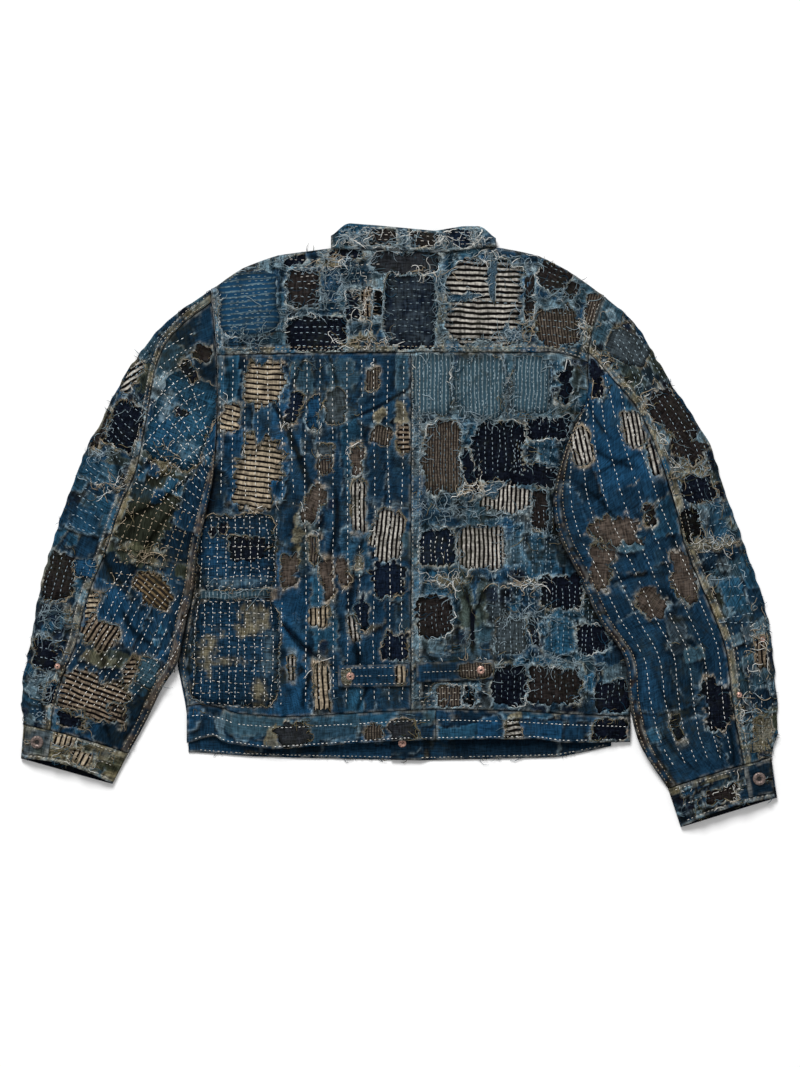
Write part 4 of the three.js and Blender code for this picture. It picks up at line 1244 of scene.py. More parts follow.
# Painted shade and light from the relief: cells over which a point's height is compared with its surroundings, and the
# difference that counts fully; a point below its surroundings is painted darker, one above them lighter
RELIEF_SHADE = records("reach full", (4, 1.4), (12, 6.5))
FRAYED = 0.45  # loose threads start where a panel is frayed more than this


def edge_distances(across, down):
    """How far each point of a grid is from its four edges."""
    return {
        "first_row": down, "last_row": down[-1:] - down,
        "first_column": across, "last_column": across[:, -1:] - across,
    }


def sewn(**widths):
    """The width of the felled ridge at each edge of a panel, 0 where there is none."""
    return {**dict.fromkeys(EDGES, 0), **widths}


def seam_relief(x, y, felled):
    """Rolled edges and felled ridges of a grid, and where they are worn; felled has the ridges' widths."""
    flat = np.zeros_like(x)
    away = edge_distances(run_lengths(x, y, flat, 1), run_lengths(x, y, flat, 0))
    relief, worn = np.zeros_like(x), np.zeros_like(x)
    for edge, width in felled.items():
        distance = away[edge]
        relief -= EDGE_ROLL * ramp(EDGE_TURN, 0, distance)
        worn = np.maximum(worn, bell((distance - 1) / SEAM_FADE))
        if width:
            relief += FELL_RISE * ramp(width + FELL_STEP, width - FELL_STEP, distance)
            worn = np.maximum(worn, bell((distance - width) / SEAM_FADE))
            pucker = lumps(x + y * 0.3, y - x * 0.3, PUCKER["size"], PUCKER_SEED)
            relief += PUCKER["height"] * pucker * ramp(width + PUCKER["reach"], width, distance)
    return relief, worn


def grid_normals(outer):
    """Directions straight out of a grid of points, up on its first column."""
    normals = np.cross(np.gradient(outer, axis=0), np.gradient(outer, axis=1))
    normals /= np.maximum(np.linalg.norm(normals, axis=-1, keepdims=True), 1e-9)
    return normals * np.sign(normals[:, : max(2, outer.shape[1] // 4), 2].mean())


def add_panel(name, outer, worn, thickness, slot="indigo_cloth", shown=None, on_top=True):
    """A sheet of cloth from a grid of points of its outer face; shown is how many columns show from above."""
    inner = outer - grid_normals(outer) * thickness
    inner[..., 2] = np.maximum(inner[..., 2], 0)
    points, faces = shell(outer, inner)
    x, y, z = (outer[..., k] for k in range(3))
    shown = shown or x.shape[1]
    across, down = run_lengths(x, y, z, 1), run_lengths(x, y, z, 0)
    tone, fray = paint(name, x, y, worn, edge_distances(across, down))
    # painted shade in hollows and painted light on rises, from each point's height against its surroundings
    crest = np.full(x.shape, 0.5)
    for row in RELIEF_SHADE:
        crest[:, :shown] += ((z - blurred(z, row["reach"])) / row["full"])[:, :shown]
    lay = np.stack([across, down, np.full_like(x, SHADES[shade_name(name)]["seed"])], -1)
    hidden = len(points) - x.size
    lining = INK["indigo" if "front" in name else "night"]
    marks = {
        "tone": np.vstack([tone.reshape(-1, 3), np.tile(lining, (hidden, 1))]),
        "lay": np.vstack([lay.reshape(-1, 3), points[x.size:]]),
        "fray": np.concatenate([fray.ravel(), np.zeros(hidden)]),
        "crest": np.concatenate([np.clip(crest, 0, 1).ravel(), np.full(hidden, 0.5)]),
    }
    piece = mesh_piece("cloth_" + name, points, faces, "worn", marks)
    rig.replaces(piece, name)
    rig.slot(piece, slot)
    surface = None
    if on_top:
        seen = outer[:, :shown]
        surface = BVHTree.FromPolygons(seen.reshape(-1, 3).tolist(), grid_faces(*seen.shape[:2]).tolist())
    diagonals = outer[1:, 1:] - outer[:-1, :-1], outer[1:, :-1] - outer[:-1, 1:]
    frayed = fray[:, :shown] > FRAYED
    PANELS[name] = {
        "piece": piece, "surface": surface, "with": [], "spots": outer[:, :shown, :2][frayed],
        "flat": (across[:, -1].max() * MM, down[-1].max() * MM),
        "area": np.linalg.norm(np.cross(*diagonals), axis=-1).sum() / 2 * MM**2,
    }
    return piece


def add_layer(name, x, y, z, thickness, felled=None, **settings):
    """A panel that covers its plan once, with rolled and felled edges."""
    x = np.broadcast_to(x, z.shape)
    relief, worn = seam_relief(x, y, felled or {})
    return add_panel(name, np.stack([x, y, z + relief], -1), worn, thickness, **settings)


def drop(panel, x, y, kind="surface"):
    """Height of a panel, or of the patches on it, under places; not a number where there is none."""
    surface = PANELS[panel][kind]
    heights = np.full(np.size(x), np.nan)
    down = Vector((0, 0, -1))
    for k, (px, py) in enumerate(zip(np.ravel(x), np.ravel(y))):
        hit = surface.ray_cast(Vector((px, py, 100.0)), down)[0]
        if hit is not None:
            heights[k] = hit.z
    return heights.reshape(np.shape(x))


def drop_on_top(panel, x, y):
    """Height of a panel with its patches; not a number where the panel isn't there."""
    cloth = drop(panel, x, y)
    if "patches" not in PANELS[panel]:
        return cloth
    patches = drop(panel, x, y, "patches")
    return np.where(np.isfinite(cloth), np.fmax(cloth, patches), np.nan)


def body_relief(name, x, y):
    """Creases, unevenness and holes of a piece of the back."""
    shades = SHADES[shade_name(name)]
    uneven = uneven_relief(x, y, shades["seed"], shades["rough"])
    free = body_free(x, y)
    low, more = FLAT_UNEVEN["body"]
    return free * crease_relief("body", x, y) + (low + more * free) * uneven + hole_relief(name, x, y)


# Usual lengths of the panels across and down, for the number of points in their grids
SPAN = {
    "yoke": {"across": 490, "down": 135},
    "back": {"across": 270},
    "waistband_back": {"across": 280, "down": 36},
    "front": {"across": 280, "down": 530},
    "waistband_front": {"across": 280, "down": 50},
    "sleeve_under": {"across": 130},
    "sleeve_top": {"across": 66, "below": 190},
    "cuff": {"across": 125, "down": 50},
    "cuff_end": {"across": 33, "down": 40},
    "collar_back": {"across": 31, "down": 206},
}
# Points along the hidden parts of the collar
POINTS = {"collar_front_across": 20, "collar_front_up": 8, "collar_stand": 9}
BAND_GRID = 1.5  # spacing of the points on bands and straps
COLLAR_GRID = 1.3
COLLAR_ROLL = 0.55  # how far the fall of the collar bulges
FOLDED = 0.8  # how thick a folded piece's cloth is, next to its usual thickness
SEAM_SHARE = 0.002  # half of the gap at the over-arm seam, as a share of the way across
# How much of the cloth's unevenness shows where it lies flat, and how much more where it stands off
FLAT_UNEVEN = {"body": (0.35, 0.65), "sleeve": (0.3, 0.5), "sleeve_holes": (0.3, 0.7)}
# The same for narrow pieces, all over
BAND_UNEVEN = {
    "waistband_back": 0.7, "waistband_front": 0.3, "cuff": 0.5, "cuff_end": 0.4, "collar_back": 0.6,
}
# Widths of the felled seams and hems
FELL = {
    "yoke_foot": 9, "armhole_left": 9, "armhole_right": 10, "side_left": 9, "centre": 13,
    "sleeve_in": 10, "over_arm": 9, "hem": 4,
}


def rows_of(panel, spacing=GRID):
    return graded(SPAN[panel]["down"], spacing)[:, None]


def columns_of(panel, spacing=GRID):
    return graded(SPAN[panel]["across"], spacing)[None, :]


def build_yoke():
    """Rows from the seam with the back up to the shoulders."""
    up = rows_of("yoke")
    across = columns_of("yoke")
    foot_x = mix(body_edge("left", YOKE_FOOT["left"]), body_edge("right", YOKE_FOOT["right"]), across)
    top_x = mix(ARMHOLE["left"]["top_x"], ARMHOLE["right"]["top_x"], across)
    foot_y = between(YOKE_SEAM, "x", foot_x, "y", 6) + SEAM_GAP
    y = mix(foot_y, between(SHOULDER_LINE, "x", top_x, "y", 8), up)
    x = mix(body_edge("left", y), body_edge("right", y), across)
    z = body_top(x, y) + body_relief("yoke", x, y)
    felled = sewn(
        first_row=FELL["yoke_foot"], first_column=FELL["armhole_left"], last_column=FELL["armhole_right"],
    )
    add_layer("yoke", x, y, z, CLOTH, felled, slot="faded_cloth")


def build_back(side):
    """Rows from the yoke down to the waistband, columns from the side to the centre."""
    name = "back_" + side
    down = graded(YOKE_FOOT[side] - FRONT_FOOT, GRID)[:, None]
    level = mix(YOKE_FOOT[side], FRONT_FOOT, down)
    seam = CENTRE_BACK + OUTWARD[side] * SEAM_GAP / 2
    x = mix(body_edge(side, level), seam, columns_of("back"))
    foot = between(WAIST_SEAM, "x", x, "y", 6) + SEAM_GAP
    y = mix(between(YOKE_SEAM, "x", x, "y", 6), foot, down)
    z = body_top(x, y) + body_relief(name, x, y)
    felled = sewn(first_column=FELL["side_left"]) if side == "left" else sewn(last_column=FELL["centre"])
    add_layer(name, x, y, z, CLOTH, felled)


def build_waistband_back(side):
    name = "waistband_back_" + side
    joint = WAISTBAND_JOIN + OUTWARD[side] * SEAM_GAP / 2
    x = mix(body_edge(side, FRONT_FOOT), joint, columns_of("waistband_back"))
    down = rows_of("waistband_back", BAND_GRID)
    y = mix(between(WAIST_SEAM, "x", x, "y", 6), between(BACK_HEM, "x", x, "y", 4), down)
    x = np.broadcast_to(x, y.shape)
    roll = BAND_ROLL * np.sin(math.pi * down)
    relief = BAND_UNEVEN["waistband_back"] * body_relief(name, x, y)
    z = body_top(x, y) + 2 * (BAND - CLOTH) + relief + roll
    add_layer(name, x, y, z, BAND, sewn())


def front_lift(side, x, thickness):
    """How far the right front steps up onto the left one."""
    if side == "left":
        return np.zeros_like(x)
    end = CENTRE_FRONT["overlap_to"]
    return (thickness + SEAM_GAP) * ramp(end + CENTRE_FRONT["step"], end + CENTRE_FRONT["clear"], x)


def build_front(side):
    down = np.linspace(0, 1, round(SPAN["front"]["down"] / HIDDEN_GRID))[:, None]
    across = np.linspace(0, 1, round(SPAN["front"]["across"] / HIDDEN_GRID))[None, :]
    level = mix(ARMHOLE[side]["top_y"], FRONT_FOOT, down)
    x = mix(body_edge(side, level), CENTRE_FRONT[side], across)
    y = mix(between(SHOULDER_LINE, "x", x, "y"), FRONT_FOOT, down)
    add_layer("front_" + side, x, y, front_lift(side, x, CLOTH) + CLOTH, CLOTH, on_top=False)


def build_waistband_front(side):
    x = mix(FRONT_BAND_END[side], CENTRE_FRONT[side], columns_of("waistband_front"))
    down = rows_of("waistband_front")
    y = mix(FRONT_FOOT - SEAM_GAP, between(FRONT_HEM, "x", x, "y", 6), down)
    x = np.broadcast_to(x, y.shape)
    uneven = BAND_UNEVEN["waistband_front"] * uneven_relief(x, y, SHADES["front"]["seed"])
    z = front_lift(side, x, BAND) + BAND + uneven
    add_layer("waistband_front_" + side, x, y, z, BAND, {"last_row": 0})


def sleeve_relief(side, name, along, share, x, y):
    """Creases, unevenness and holes of a piece of a sleeve."""
    free = sleeve_round(share) * ramp(0, 0.8, along)
    uneven = uneven_relief(x, y, SHADES[name]["seed"], SHADES[name]["rough"])
    folds = crease_relief(side, x, y)
    flat, holes = (low + more * free for low, more in (FLAT_UNEVEN["sleeve"], FLAT_UNEVEN["sleeve_holes"]))
    return free * folds + flat * uneven + hole_relief(name, x, y) * holes


def build_sleeve_under(side):
    """Rows down the sleeve, columns from the seam next to the body to the over-arm seam."""
    name = f"sleeve_{side}_under"
    along = np.linspace(0, LAST_SECTION, round(SLEEVE_LENGTH / GRID))[:, None]
    over_arm = on_curve(SLEEVE[side], along, "seam") - SEAM_SHARE
    share = columns_of("sleeve_under") * over_arm
    x, y = sleeve_place(side, along, share)
    z = sleeve_top(side, along, share) + sleeve_relief(side, name, along, share, x, y)
    add_layer(name, x, y, z, CLOTH, sewn(first_column=FELL["sleeve_in"]))


def hairpin(upper, lower, bulge, steps=7):
    """Points of a fold from the last column of an upper grid round to the first column of a lower one."""
    start, end = upper[:, -1:], lower[:, :1]
    way = start[..., :2] - upper[:, -4:-3, :2]
    way = way / np.linalg.norm(way, axis=-1, keepdims=True)
    turn = np.linspace(0, math.pi, steps + 2)[1:-1][None, :, None]
    fold = mix(start, end, (1 - np.cos(turn)) / 2)
    fold[..., :2] += way * bulge * np.sin(turn)
    return fold


def build_sleeve_top(side):
    """Columns from the over-arm seam round the outer fold and back below to the body."""
    name = f"sleeve_{side}_top"
    along = np.linspace(0, LAST_SECTION, round(SLEEVE_LENGTH / GRID))[:, None]
    over_arm = on_curve(SLEEVE[side], along, "seam") + SEAM_SHARE
    share = mix(over_arm, 1, columns_of("sleeve_top"))
    x, y = sleeve_place(side, along, share)
    relief, worn = seam_relief(x, y, {"first_row": 0, "last_row": 0, "first_column": FELL["over_arm"]})
    z = sleeve_top(side, along, share) + sleeve_relief(side, name, along, share, x, y) + relief
    upper = np.stack([x, y, z], -1)
    back = np.linspace(1, 0, round(SPAN["sleeve_top"]["below"] / HIDDEN_GRID))[None, :] + 0 * along
    low_x, low_y = sleeve_place(side, along, back)
    lower = np.stack([low_x, low_y, sleeve_rest(side, low_x, low_y)], -1)
    outer = np.concatenate([upper, hairpin(upper, lower, FOLD_BULGE), lower], 1)
    worn = np.pad(worn, ((0, 0), (0, outer.shape[1] - x.shape[1])))
    add_panel(name, outer, worn, CLOTH, shown=x.shape[1])


def build_cuff(side):
    """Rows from the seam to the hem, columns across the upper layer and back below."""
    name = "cuff_" + side
    down = rows_of("cuff", BAND_GRID)
    end = BAND / CUFF[side]["width"]
    share = mix(end, 1 - end, columns_of("cuff", BAND_GRID))
    x, y = cuff_place(side, down, share, 1)
    relief, worn = seam_relief(x, y, {"first_row": 0, "last_row": FELL["hem"]})
    uneven = BAND_UNEVEN["cuff"] * uneven_relief(x, y, SHADES[name]["seed"]) + hole_relief(name, x, y)
    upper = np.stack([x, y, cuff_top(share) + relief + uneven], -1)
    hidden = np.linspace(0, 1, round(SPAN["cuff"]["across"] / HIDDEN_GRID))[None, :]
    back = mix(1 - end, end, hidden) + 0 * down
    low_x, low_y = cuff_place(side, down, back, 0)
    lower = np.stack([low_x, low_y, 0 * low_x], -1)
    inner_fold = hairpin(lower, upper, BAND)
    half = inner_fold.shape[1] // 2
    outer = np.concatenate(
        [inner_fold[:, half:], upper, hairpin(upper, lower, BAND), lower, inner_fold[:, : half + 1]], 1,
    )
    outer[:, -1, 2] -= SEAM_GAP
    worn = np.pad(worn, ((0, 0), (half + 1, outer.shape[1] - x.shape[1] - half - 1)))
    add_panel(name, outer, worn, BAND * FOLDED, shown=half + 1 + x.shape[1])


def build_cuff_end(side):
    """The buttoned end of a cuff, which lies on it."""
    name = f"cuff_{side}_end"
    down = rows_of("cuff_end", BAND_GRID) * (CUFF_END["foot"] - CUFF_END["top"]) + CUFF_END["top"]
    share = mix(CUFF_END["near"], CUFF_END["far"], columns_of("cuff_end", BAND_GRID))
    x, y = cuff_place(side, down, share, 1)
    uneven = BAND_UNEVEN["cuff_end"] * uneven_relief(x, y, SHADES["cuff_" + side]["seed"])
    z = cuff_top(share) + SEAM_GAP + CLOTH + uneven
    add_layer(name, x, y, z, CLOTH, sewn(first_column=FELL["hem"]))


def build_collar_back():
    """Columns from the free edge of the fall over the top fold and down the stand; rows along the neck."""
    x = mix(COLLAR["x"][0], COLLAR["x"][-1], rows_of("collar_back", BAND_GRID))
    edge, fold, lift = (between(COLLAR, "x", x, column, 5) for column in ("edge", "fold", "lift"))
    foot = between(SHOULDER_LINE, "x", x, "y") + SEAM_GAP
    low = CLOTH + SEAM_GAP + lift
    high = low + 2 * CLOTH + 2 * SEAM_GAP
    fall = np.maximum(body_top(x, edge) + 1 + CLOTH, high)
    down = columns_of("collar_back", COLLAR_GRID)
    y = mix(edge, fold - CLOTH, down)
    z = mix(fall, high, ramp(0, 1, down)) + COLLAR_ROLL * np.sin(math.pi * down)
    x = np.broadcast_to(x, y.shape)
    relief, worn = seam_relief(x, y, {"first_column": FELL["hem"], "first_row": 0, "last_row": 0})
    uneven = BAND_UNEVEN["collar_back"] * uneven_relief(x, y, SHADES["collar_back"]["seed"])
    z = z + relief + uneven + hole_relief("collar_back", x, y)
    upper = np.stack([x, y, z], -1)
    back = np.linspace(0, 1, POINTS["collar_stand"])[None, :]
    low_y = mix(fold - CLOTH, foot, back)
    lower = np.stack([np.broadcast_to(x[:, :1], low_y.shape), low_y, low + 0 * low_y], -1)
    outer = np.concatenate([upper, hairpin(upper, lower, CLOTH), lower], 1)
    worn = np.pad(worn, ((0, 0), (0, outer.shape[1] - y.shape[1])))
    add_panel("collar_back", outer, worn, CLOTH * FOLDED, slot="faded_cloth", shown=y.shape[1])


def build_collar_front(side):
    start = NECK[side]
    ends = {"left": CENTRE_FRONT["overlap_from"], "right": CENTRE_FRONT["overlap_to"] + CENTRE_FRONT["step"]}
    x = np.linspace(start, ends[side], POINTS["collar_front_across"])[None, :]
    up = np.linspace(0, 1, POINTS["collar_front_up"])[:, None]
    top = between(COLLAR, "x", x, "fold") - CLOTH
    y = mix(between(SHOULDER_LINE, "x", x, "y") + SEAM_GAP, top, up)
    add_layer("collar_front_" + side, x, y, np.full_like(y, CLOTH), CLOTH, slot="faded_cloth", on_top=False)


def build_cinch(side):
    strap = CINCH[side]
    across = (graded(strap["width"], BAND_GRID)[None, :] - 0.5) * strap["width"]
    down = (graded(strap["depth"], BAND_GRID)[:, None] - 0.5) * strap["depth"]
    x = strap["x"] + across - down * strap["slope"]
    y = strap["y"] + across * strap["slope"] + down
    base = np.full(x.shape, -np.inf)
    for panel in ("back_left", "back_right"):
        base = np.fmax(base, np.nan_to_num(drop(panel, x, y), nan=-np.inf))
    base = np.where(np.isfinite(base), base, body_top(x, y))
    z = blurred(base, 3) + 1 + BAND
    add_layer("cinch_" + side, x, y, z, BAND, sewn())


# Shader building


def node(tree, kind, inputs=None, **settings):
    """A shader node with its settings, and its inputs linked or set."""
    made = tree.nodes.new("ShaderNode" + kind)
    for key, value in settings.items():
        setattr(made, key, value)
    for key, value in (inputs or {}).items():
        if isinstance(value, bpy.types.NodeSocket):
            tree.links.new(value, made.inputs[key])
        else:
            made.inputs[key].default_value = value
    return made


def calc(tree, operation, first, second=0.0, third=0.0):
    return node(tree, "Math", {0: first, 1: second, 2: third}, operation=operation).outputs[0]


def soft_step(tree, value, start, end):
    """0 to 1 while a value goes from start to end."""
    inputs = {"Value": value, "From Min": start, "From Max": end}
    return node(tree, "MapRange", inputs, interpolation_type="SMOOTHSTEP").outputs["Result"]


def blend(tree, share, first, second, kind="MIX"):
    """Two colours mixed; sockets 6 and 7 and output 2 of the node are its colours."""
    return node(tree, "Mix", {0: share, 6: first, 7: second}, data_type="RGBA", blend_type=kind).outputs[2]


def colour(ink, shade=1.0):
    return (*(INK[ink] * shade), 1.0)


def scaled(tree, place, scale, shift=(0, 0, 0)):
    return node(tree, "Mapping", {"Vector": place, "Scale": scale, "Location": shift}).outputs[0]


def noise(tree, place, scale, detail=3.0, roughness=0.55):
    return node(tree, "TexNoise", {"Vector": place, "Scale": scale, "Detail": detail, "Roughness": roughness})


def group(name, amount, *outputs):
    """An empty shader group that takes a place and an amount and gives values, and its two end nodes."""
    tree = bpy.data.node_groups.new(name, "ShaderNodeTree")
    tree.interface.new_socket("Place", in_out="INPUT", socket_type="NodeSocketVector")
    tree.interface.new_socket(amount, in_out="INPUT", socket_type="NodeSocketFloat")
    for label in outputs:
        tree.interface.new_socket(label, in_out="OUTPUT", socket_type="NodeSocketFloat")
    return tree, tree.nodes.new("NodeGroupInput"), tree.nodes.new("NodeGroupOutput")


def yarn_group():
    """Uneven warp and weft yarns; places are in millimetres of cloth."""
    tree, start, end = group("yarn", "Pitch", "Shade", "Height")
    place = start.outputs["Place"]
    warp = noise(tree, scaled(tree, place, (0.62, 0.06, 1)), 1.0, 2.0).outputs[0]
    weft = noise(tree, scaled(tree, place, (0.07, 0.66, 1), (31, 17, 5)), 1.0, 2.0).outputs[0]
    axes = node(tree, "SeparateXYZ", {0: place})
    waves = []
    for axis in ("X", "Y"):
        turn = calc(tree, "MULTIPLY", axes.outputs[axis], TURN)
        waves.append(calc(tree, "SINE", calc(tree, "DIVIDE", turn, start.outputs["Pitch"])))
    weave = calc(tree, "MULTIPLY", waves[0], waves[1])
    slubs = noise(tree, scaled(tree, place, (0.4, 0.07, 1), (3, 70, 2)), 1.0, 2.0, 0.6).outputs[0]
    cross = noise(tree, scaled(tree, place, (0.07, 0.42, 1), (90, 7, 4)), 1.0, 2.0, 0.6).outputs[0]
    shade = calc(tree, "ADD", calc(tree, "ADD", warp, weft), calc(tree, "ADD", slubs, cross))
    shade = soft_step(tree, calc(tree, "MULTIPLY", shade, 0.25), 0.4, 0.6)
    tree.links.new(shade, end.inputs["Shade"])
    tree.links.new(calc(tree, "MULTIPLY_ADD", weave, 0.22, shade), end.inputs["Height"])
    return tree


def stray_group():
    """Thin curling threads of frayed cloth, more of them as Amount goes to 1."""
    tree, start, end = group("stray_threads", "Amount", "Mask")
    place = start.outputs["Place"]
    lines = []
    for scale, bend, shift in ((0.16, 7.0, (0, 0, 0)), (0.24, 4.0, (40, 9, 3)), (0.4, 3.0, (7, 61, 9))):
        wander = noise(tree, scaled(tree, place, (1, 1, 1), shift), 0.11, 2.0).outputs[1]
        centred = node(tree, "VectorMath", {0: wander, 1: (0.5, 0.5, 0.5)}, operation="SUBTRACT").outputs[0]
        push = {0: centred, 1: (bend * 2, bend * 2, 0), 2: place}
        pushed = node(tree, "VectorMath", push, operation="MULTIPLY_ADD").outputs[0]
        inputs = {"Vector": pushed, "Scale": scale}
        cells = node(tree, "TexVoronoi", inputs, feature="DISTANCE_TO_EDGE", voronoi_dimensions="2D")
        lines.append(soft_step(tree, cells.outputs["Distance"], 0.42 * scale, 0.12 * scale))
    line = calc(tree, "MAXIMUM", calc(tree, "MAXIMUM", lines[0], lines[1]), lines[2])
    where = noise(tree, place, 0.07, 3.0).outputs[0]
    limit = calc(tree, "MULTIPLY_ADD", start.outputs["Amount"], -0.55, 0.85)
    patchy = soft_step(tree, calc(tree, "SUBTRACT", where, limit), -0.08, 0.12)
    tree.links.new(calc(tree, "MULTIPLY", line, patchy), end.inputs["Mask"])
    return tree


def fringe_group():
    """Broken warp and weft yarns that show pale, and the sunken gaps between them, which the cloth paints dark as
    shade, more as Amount goes to 1.
    """
    tree, start, end = group("fringe", "Amount", "Pale", "Gap")
    place = start.outputs["Place"]
    pale, gap = [], []
    for scale, shift in (((0.62, 0.13, 1), (0, 0, 0)), ((0.11, 0.7, 1), (23, 51, 8))):
        streak = noise(tree, scaled(tree, place, scale, shift), 1.0, 2.0, 0.6).outputs[0]
        pale.append(soft_step(tree, streak, 0.56, 0.66))
        gap.append(soft_step(tree, streak, 0.45, 0.34))
    where = noise(tree, place, 0.06, 3.0).outputs[0]
    limit = calc(tree, "MULTIPLY_ADD", start.outputs["Amount"], -0.6, 0.86)
    patchy = soft_step(tree, calc(tree, "SUBTRACT", where, limit), -0.1, 0.14)
    for label, parts in (("Pale", pale), ("Gap", gap)):
        most = calc(tree, "MAXIMUM", parts[0], parts[1])
        tree.links.new(calc(tree, "MULTIPLY", most, patchy), end.inputs[label])
    return tree


def soil_group():
    """Blotches of old dirt."""
    tree, start, end = group("soil", "Amount", "Mask")
    blotch = noise(tree, start.outputs["Place"], 16.0, 5.0, 0.65).outputs[0]
    speck = noise(tree, start.outputs["Place"], 140.0, 2.0).outputs[0]
    mask = calc(tree, "MULTIPLY", soft_step(tree, blotch, 0.46, 0.68), soft_step(tree, speck, 0.3, 0.7))
    tree.links.new(calc(tree, "MULTIPLY", mask, start.outputs["Amount"]), end.inputs["Mask"])
    return tree


GROUPS = {"yarn": yarn_group(), "stray": stray_group(), "fringe": fringe_group(), "soil": soil_group()}


def use_group(tree, name, inputs):
    return node(tree, "Group", inputs, node_tree=GROUPS[name])


def new_material(name):
    """A material, its tree and its Principled node."""
    material = bpy.data.materials.new(name)
    material.use_nodes = True
    return material, material.node_tree, material.node_tree.nodes["Principled BSDF"]


def mark(tree, name, output="Color"):
    return node(tree, "Attribute", attribute_name=name).outputs[output]


def soiled(tree, cloth, amount):
    """A cloth's colour with old dirt over it."""
    place = node(tree, "TexCoord").outputs["Object"]
    dirt = use_group(tree, "soil", {"Place": place, "Amount": amount})
    return blend(tree, dirt.outputs["Mask"], cloth, colour("olive", 0.5))


def shaded(tree, cloth, shade, low, high):
    """A colour made darker and lighter by a value from 0 to 1."""
    factor = calc(tree, "MULTIPLY_ADD", shade, high - low, low)
    whole = node(tree, "CombineXYZ", {0: factor, 1: factor, 2: factor}).outputs[0]
    return blend(tree, 1.0, cloth, whole, "MULTIPLY")


def cloth_ends(tree, shader, cloth, height, depth):
    """Links a cloth's colour and the height of its yarns to its shader."""
    tree.links.new(cloth, shader.inputs["Base Color"])
    shader.inputs["Roughness"].default_value = 0.93
    shader.inputs["Specular IOR Level"].default_value = 0.03
    bump = node(tree, "Bump", {"Height": height, "Distance": depth, "Strength": 1.0})
    tree.links.new(bump.outputs[0], shader.inputs["Normal"])


def worn_material():
    material, tree, shader = new_material("worn_indigo_cloth")
    lay = mark(tree, "lay", "Vector")
    fray = mark(tree, "fray", "Fac")
    tone = mark(tree, "tone")
    yarn = use_group(tree, "yarn", {"Place": lay, "Pitch": 1.1})
    clear = calc(tree, "MINIMUM", calc(tree, "ADD", fray, 0.5), 1.0)
    weave = calc(tree, "MULTIPLY_ADD", calc(tree, "SUBTRACT", yarn.outputs["Shade"], 0.5), clear, 0.5)
    cloth = shaded(tree, tone, weave, 0.16, 1.56)
    fringe = use_group(tree, "fringe", {"Place": lay, "Amount": fray})
    # painted shade in the sunken gaps between broken yarns
    cloth = shaded(tree, cloth, fringe.outputs["Gap"], 1.0, 0.22)
    pale = blend(tree, 0.3, shaded(tree, tone, fray, 1.9, 3.2), colour("mist"))
    cloth = blend(tree, calc(tree, "MULTIPLY", fringe.outputs["Pale"], 0.75), cloth, pale)
    # painted shade in hollows and painted light on rises, from the relief
    cloth = shaded(tree, cloth, mark(tree, "crest", "Fac"), 0.3, 1.7)
    stray = use_group(tree, "stray", {"Place": lay, "Amount": fray})
    cloth = blend(tree, calc(tree, "MULTIPLY", stray.outputs["Mask"], 0.6), cloth, pale)
    cloth = soiled(tree, cloth, 0.6)
    height = calc(tree, "MULTIPLY_ADD", stray.outputs["Mask"], 1.2, yarn.outputs["Height"])
    height = calc(tree, "MULTIPLY_ADD", fringe.outputs["Pale"], 1.2, height)
    height = calc(tree, "MULTIPLY_ADD", fringe.outputs["Gap"], -1.2, height)
    cloth_ends(tree, shader, cloth, height, 0.35 * MM)
    return material


def scrap_material():
    """Plain patch cloth."""
    material, tree, shader = new_material("patch_cloth")
    lay = mark(tree, "lay", "Vector")
    yarn = use_group(tree, "yarn", {"Place": lay, "Pitch": 1.3})
    cloth = shaded(tree, mark(tree, "tone"), yarn.outputs["Shade"], 0.3, 1.55)
    edge = mark(tree, "fray", "Fac")
    wear = noise(tree, lay, 0.3, 4.0).outputs[0]
    faint = calc(tree, "MULTIPLY", soft_step(tree, wear, 0.55, 0.75), 0.14)
    cloth = blend(tree, faint, cloth, colour("faded"))
    # painted shade, darker towards the patch's edge
    cloth = shaded(tree, cloth, edge, 1.0, 0.35)
    cloth_ends(tree, shader, soiled(tree, cloth, 0.4), yarn.outputs["Height"], 0.3 * MM)
    return material


def stripe_material(name, light, dark, share):
    """Striped cloth: lay counts stripes along its second axis; share is the light stripe's part."""
    material, tree, shader = new_material(name)
    lay = mark(tree, "lay", "Vector")
    yarn = use_group(tree, "yarn", {"Place": scaled(tree, lay, (4, 4, 1)), "Pitch": 1.2})
    wobble = noise(tree, lay, 0.5, 2.0).outputs[0]
    axes = node(tree, "SeparateXYZ", {0: lay})
    count = calc(tree, "MULTIPLY_ADD", wobble, 0.5, axes.outputs["Y"])
    wave = calc(tree, "PINGPONG", count, 0.5)
    stripe = soft_step(tree, wave, 0.5 - share / 2 - 0.07, 0.5 - share / 2 + 0.07)
    worn = noise(tree, lay, 0.7, 4.0).outputs[0]
    stripe = calc(tree, "MULTIPLY", stripe, soft_step(tree, worn, 0.2, 0.48))
    pale = shaded(tree, colour_node(tree, light), yarn.outputs["Shade"], 0.25, 1.05)
    cloth = blend(tree, stripe, colour(dark), pale)
    # painted shade, darker towards the patch's edge
    cloth = shaded(tree, cloth, mark(tree, "fray", "Fac"), 1.0, 0.45)
    height = calc(tree, "MULTIPLY_ADD", stripe, 1.2, yarn.outputs["Height"])
    cloth_ends(tree, shader, soiled(tree, cloth, 0.45), height, 0.3 * MM)
    return material


def colour_node(tree, ink):
    made = node(tree, "RGB")
    made.outputs[0].default_value = colour(ink)
    return made.outputs[0]


def thread_material():
    material, tree, shader = new_material("cotton_thread")
    place = node(tree, "TexCoord").outputs["Object"]
    twist = noise(tree, place, 900.0, 1.0).outputs[0]
    cloth = shaded(tree, mark(tree, "tone"), twist, 0.75, 1.25)
    cloth_ends(tree, shader, cloth, twist, 0.15 * MM)
    return material


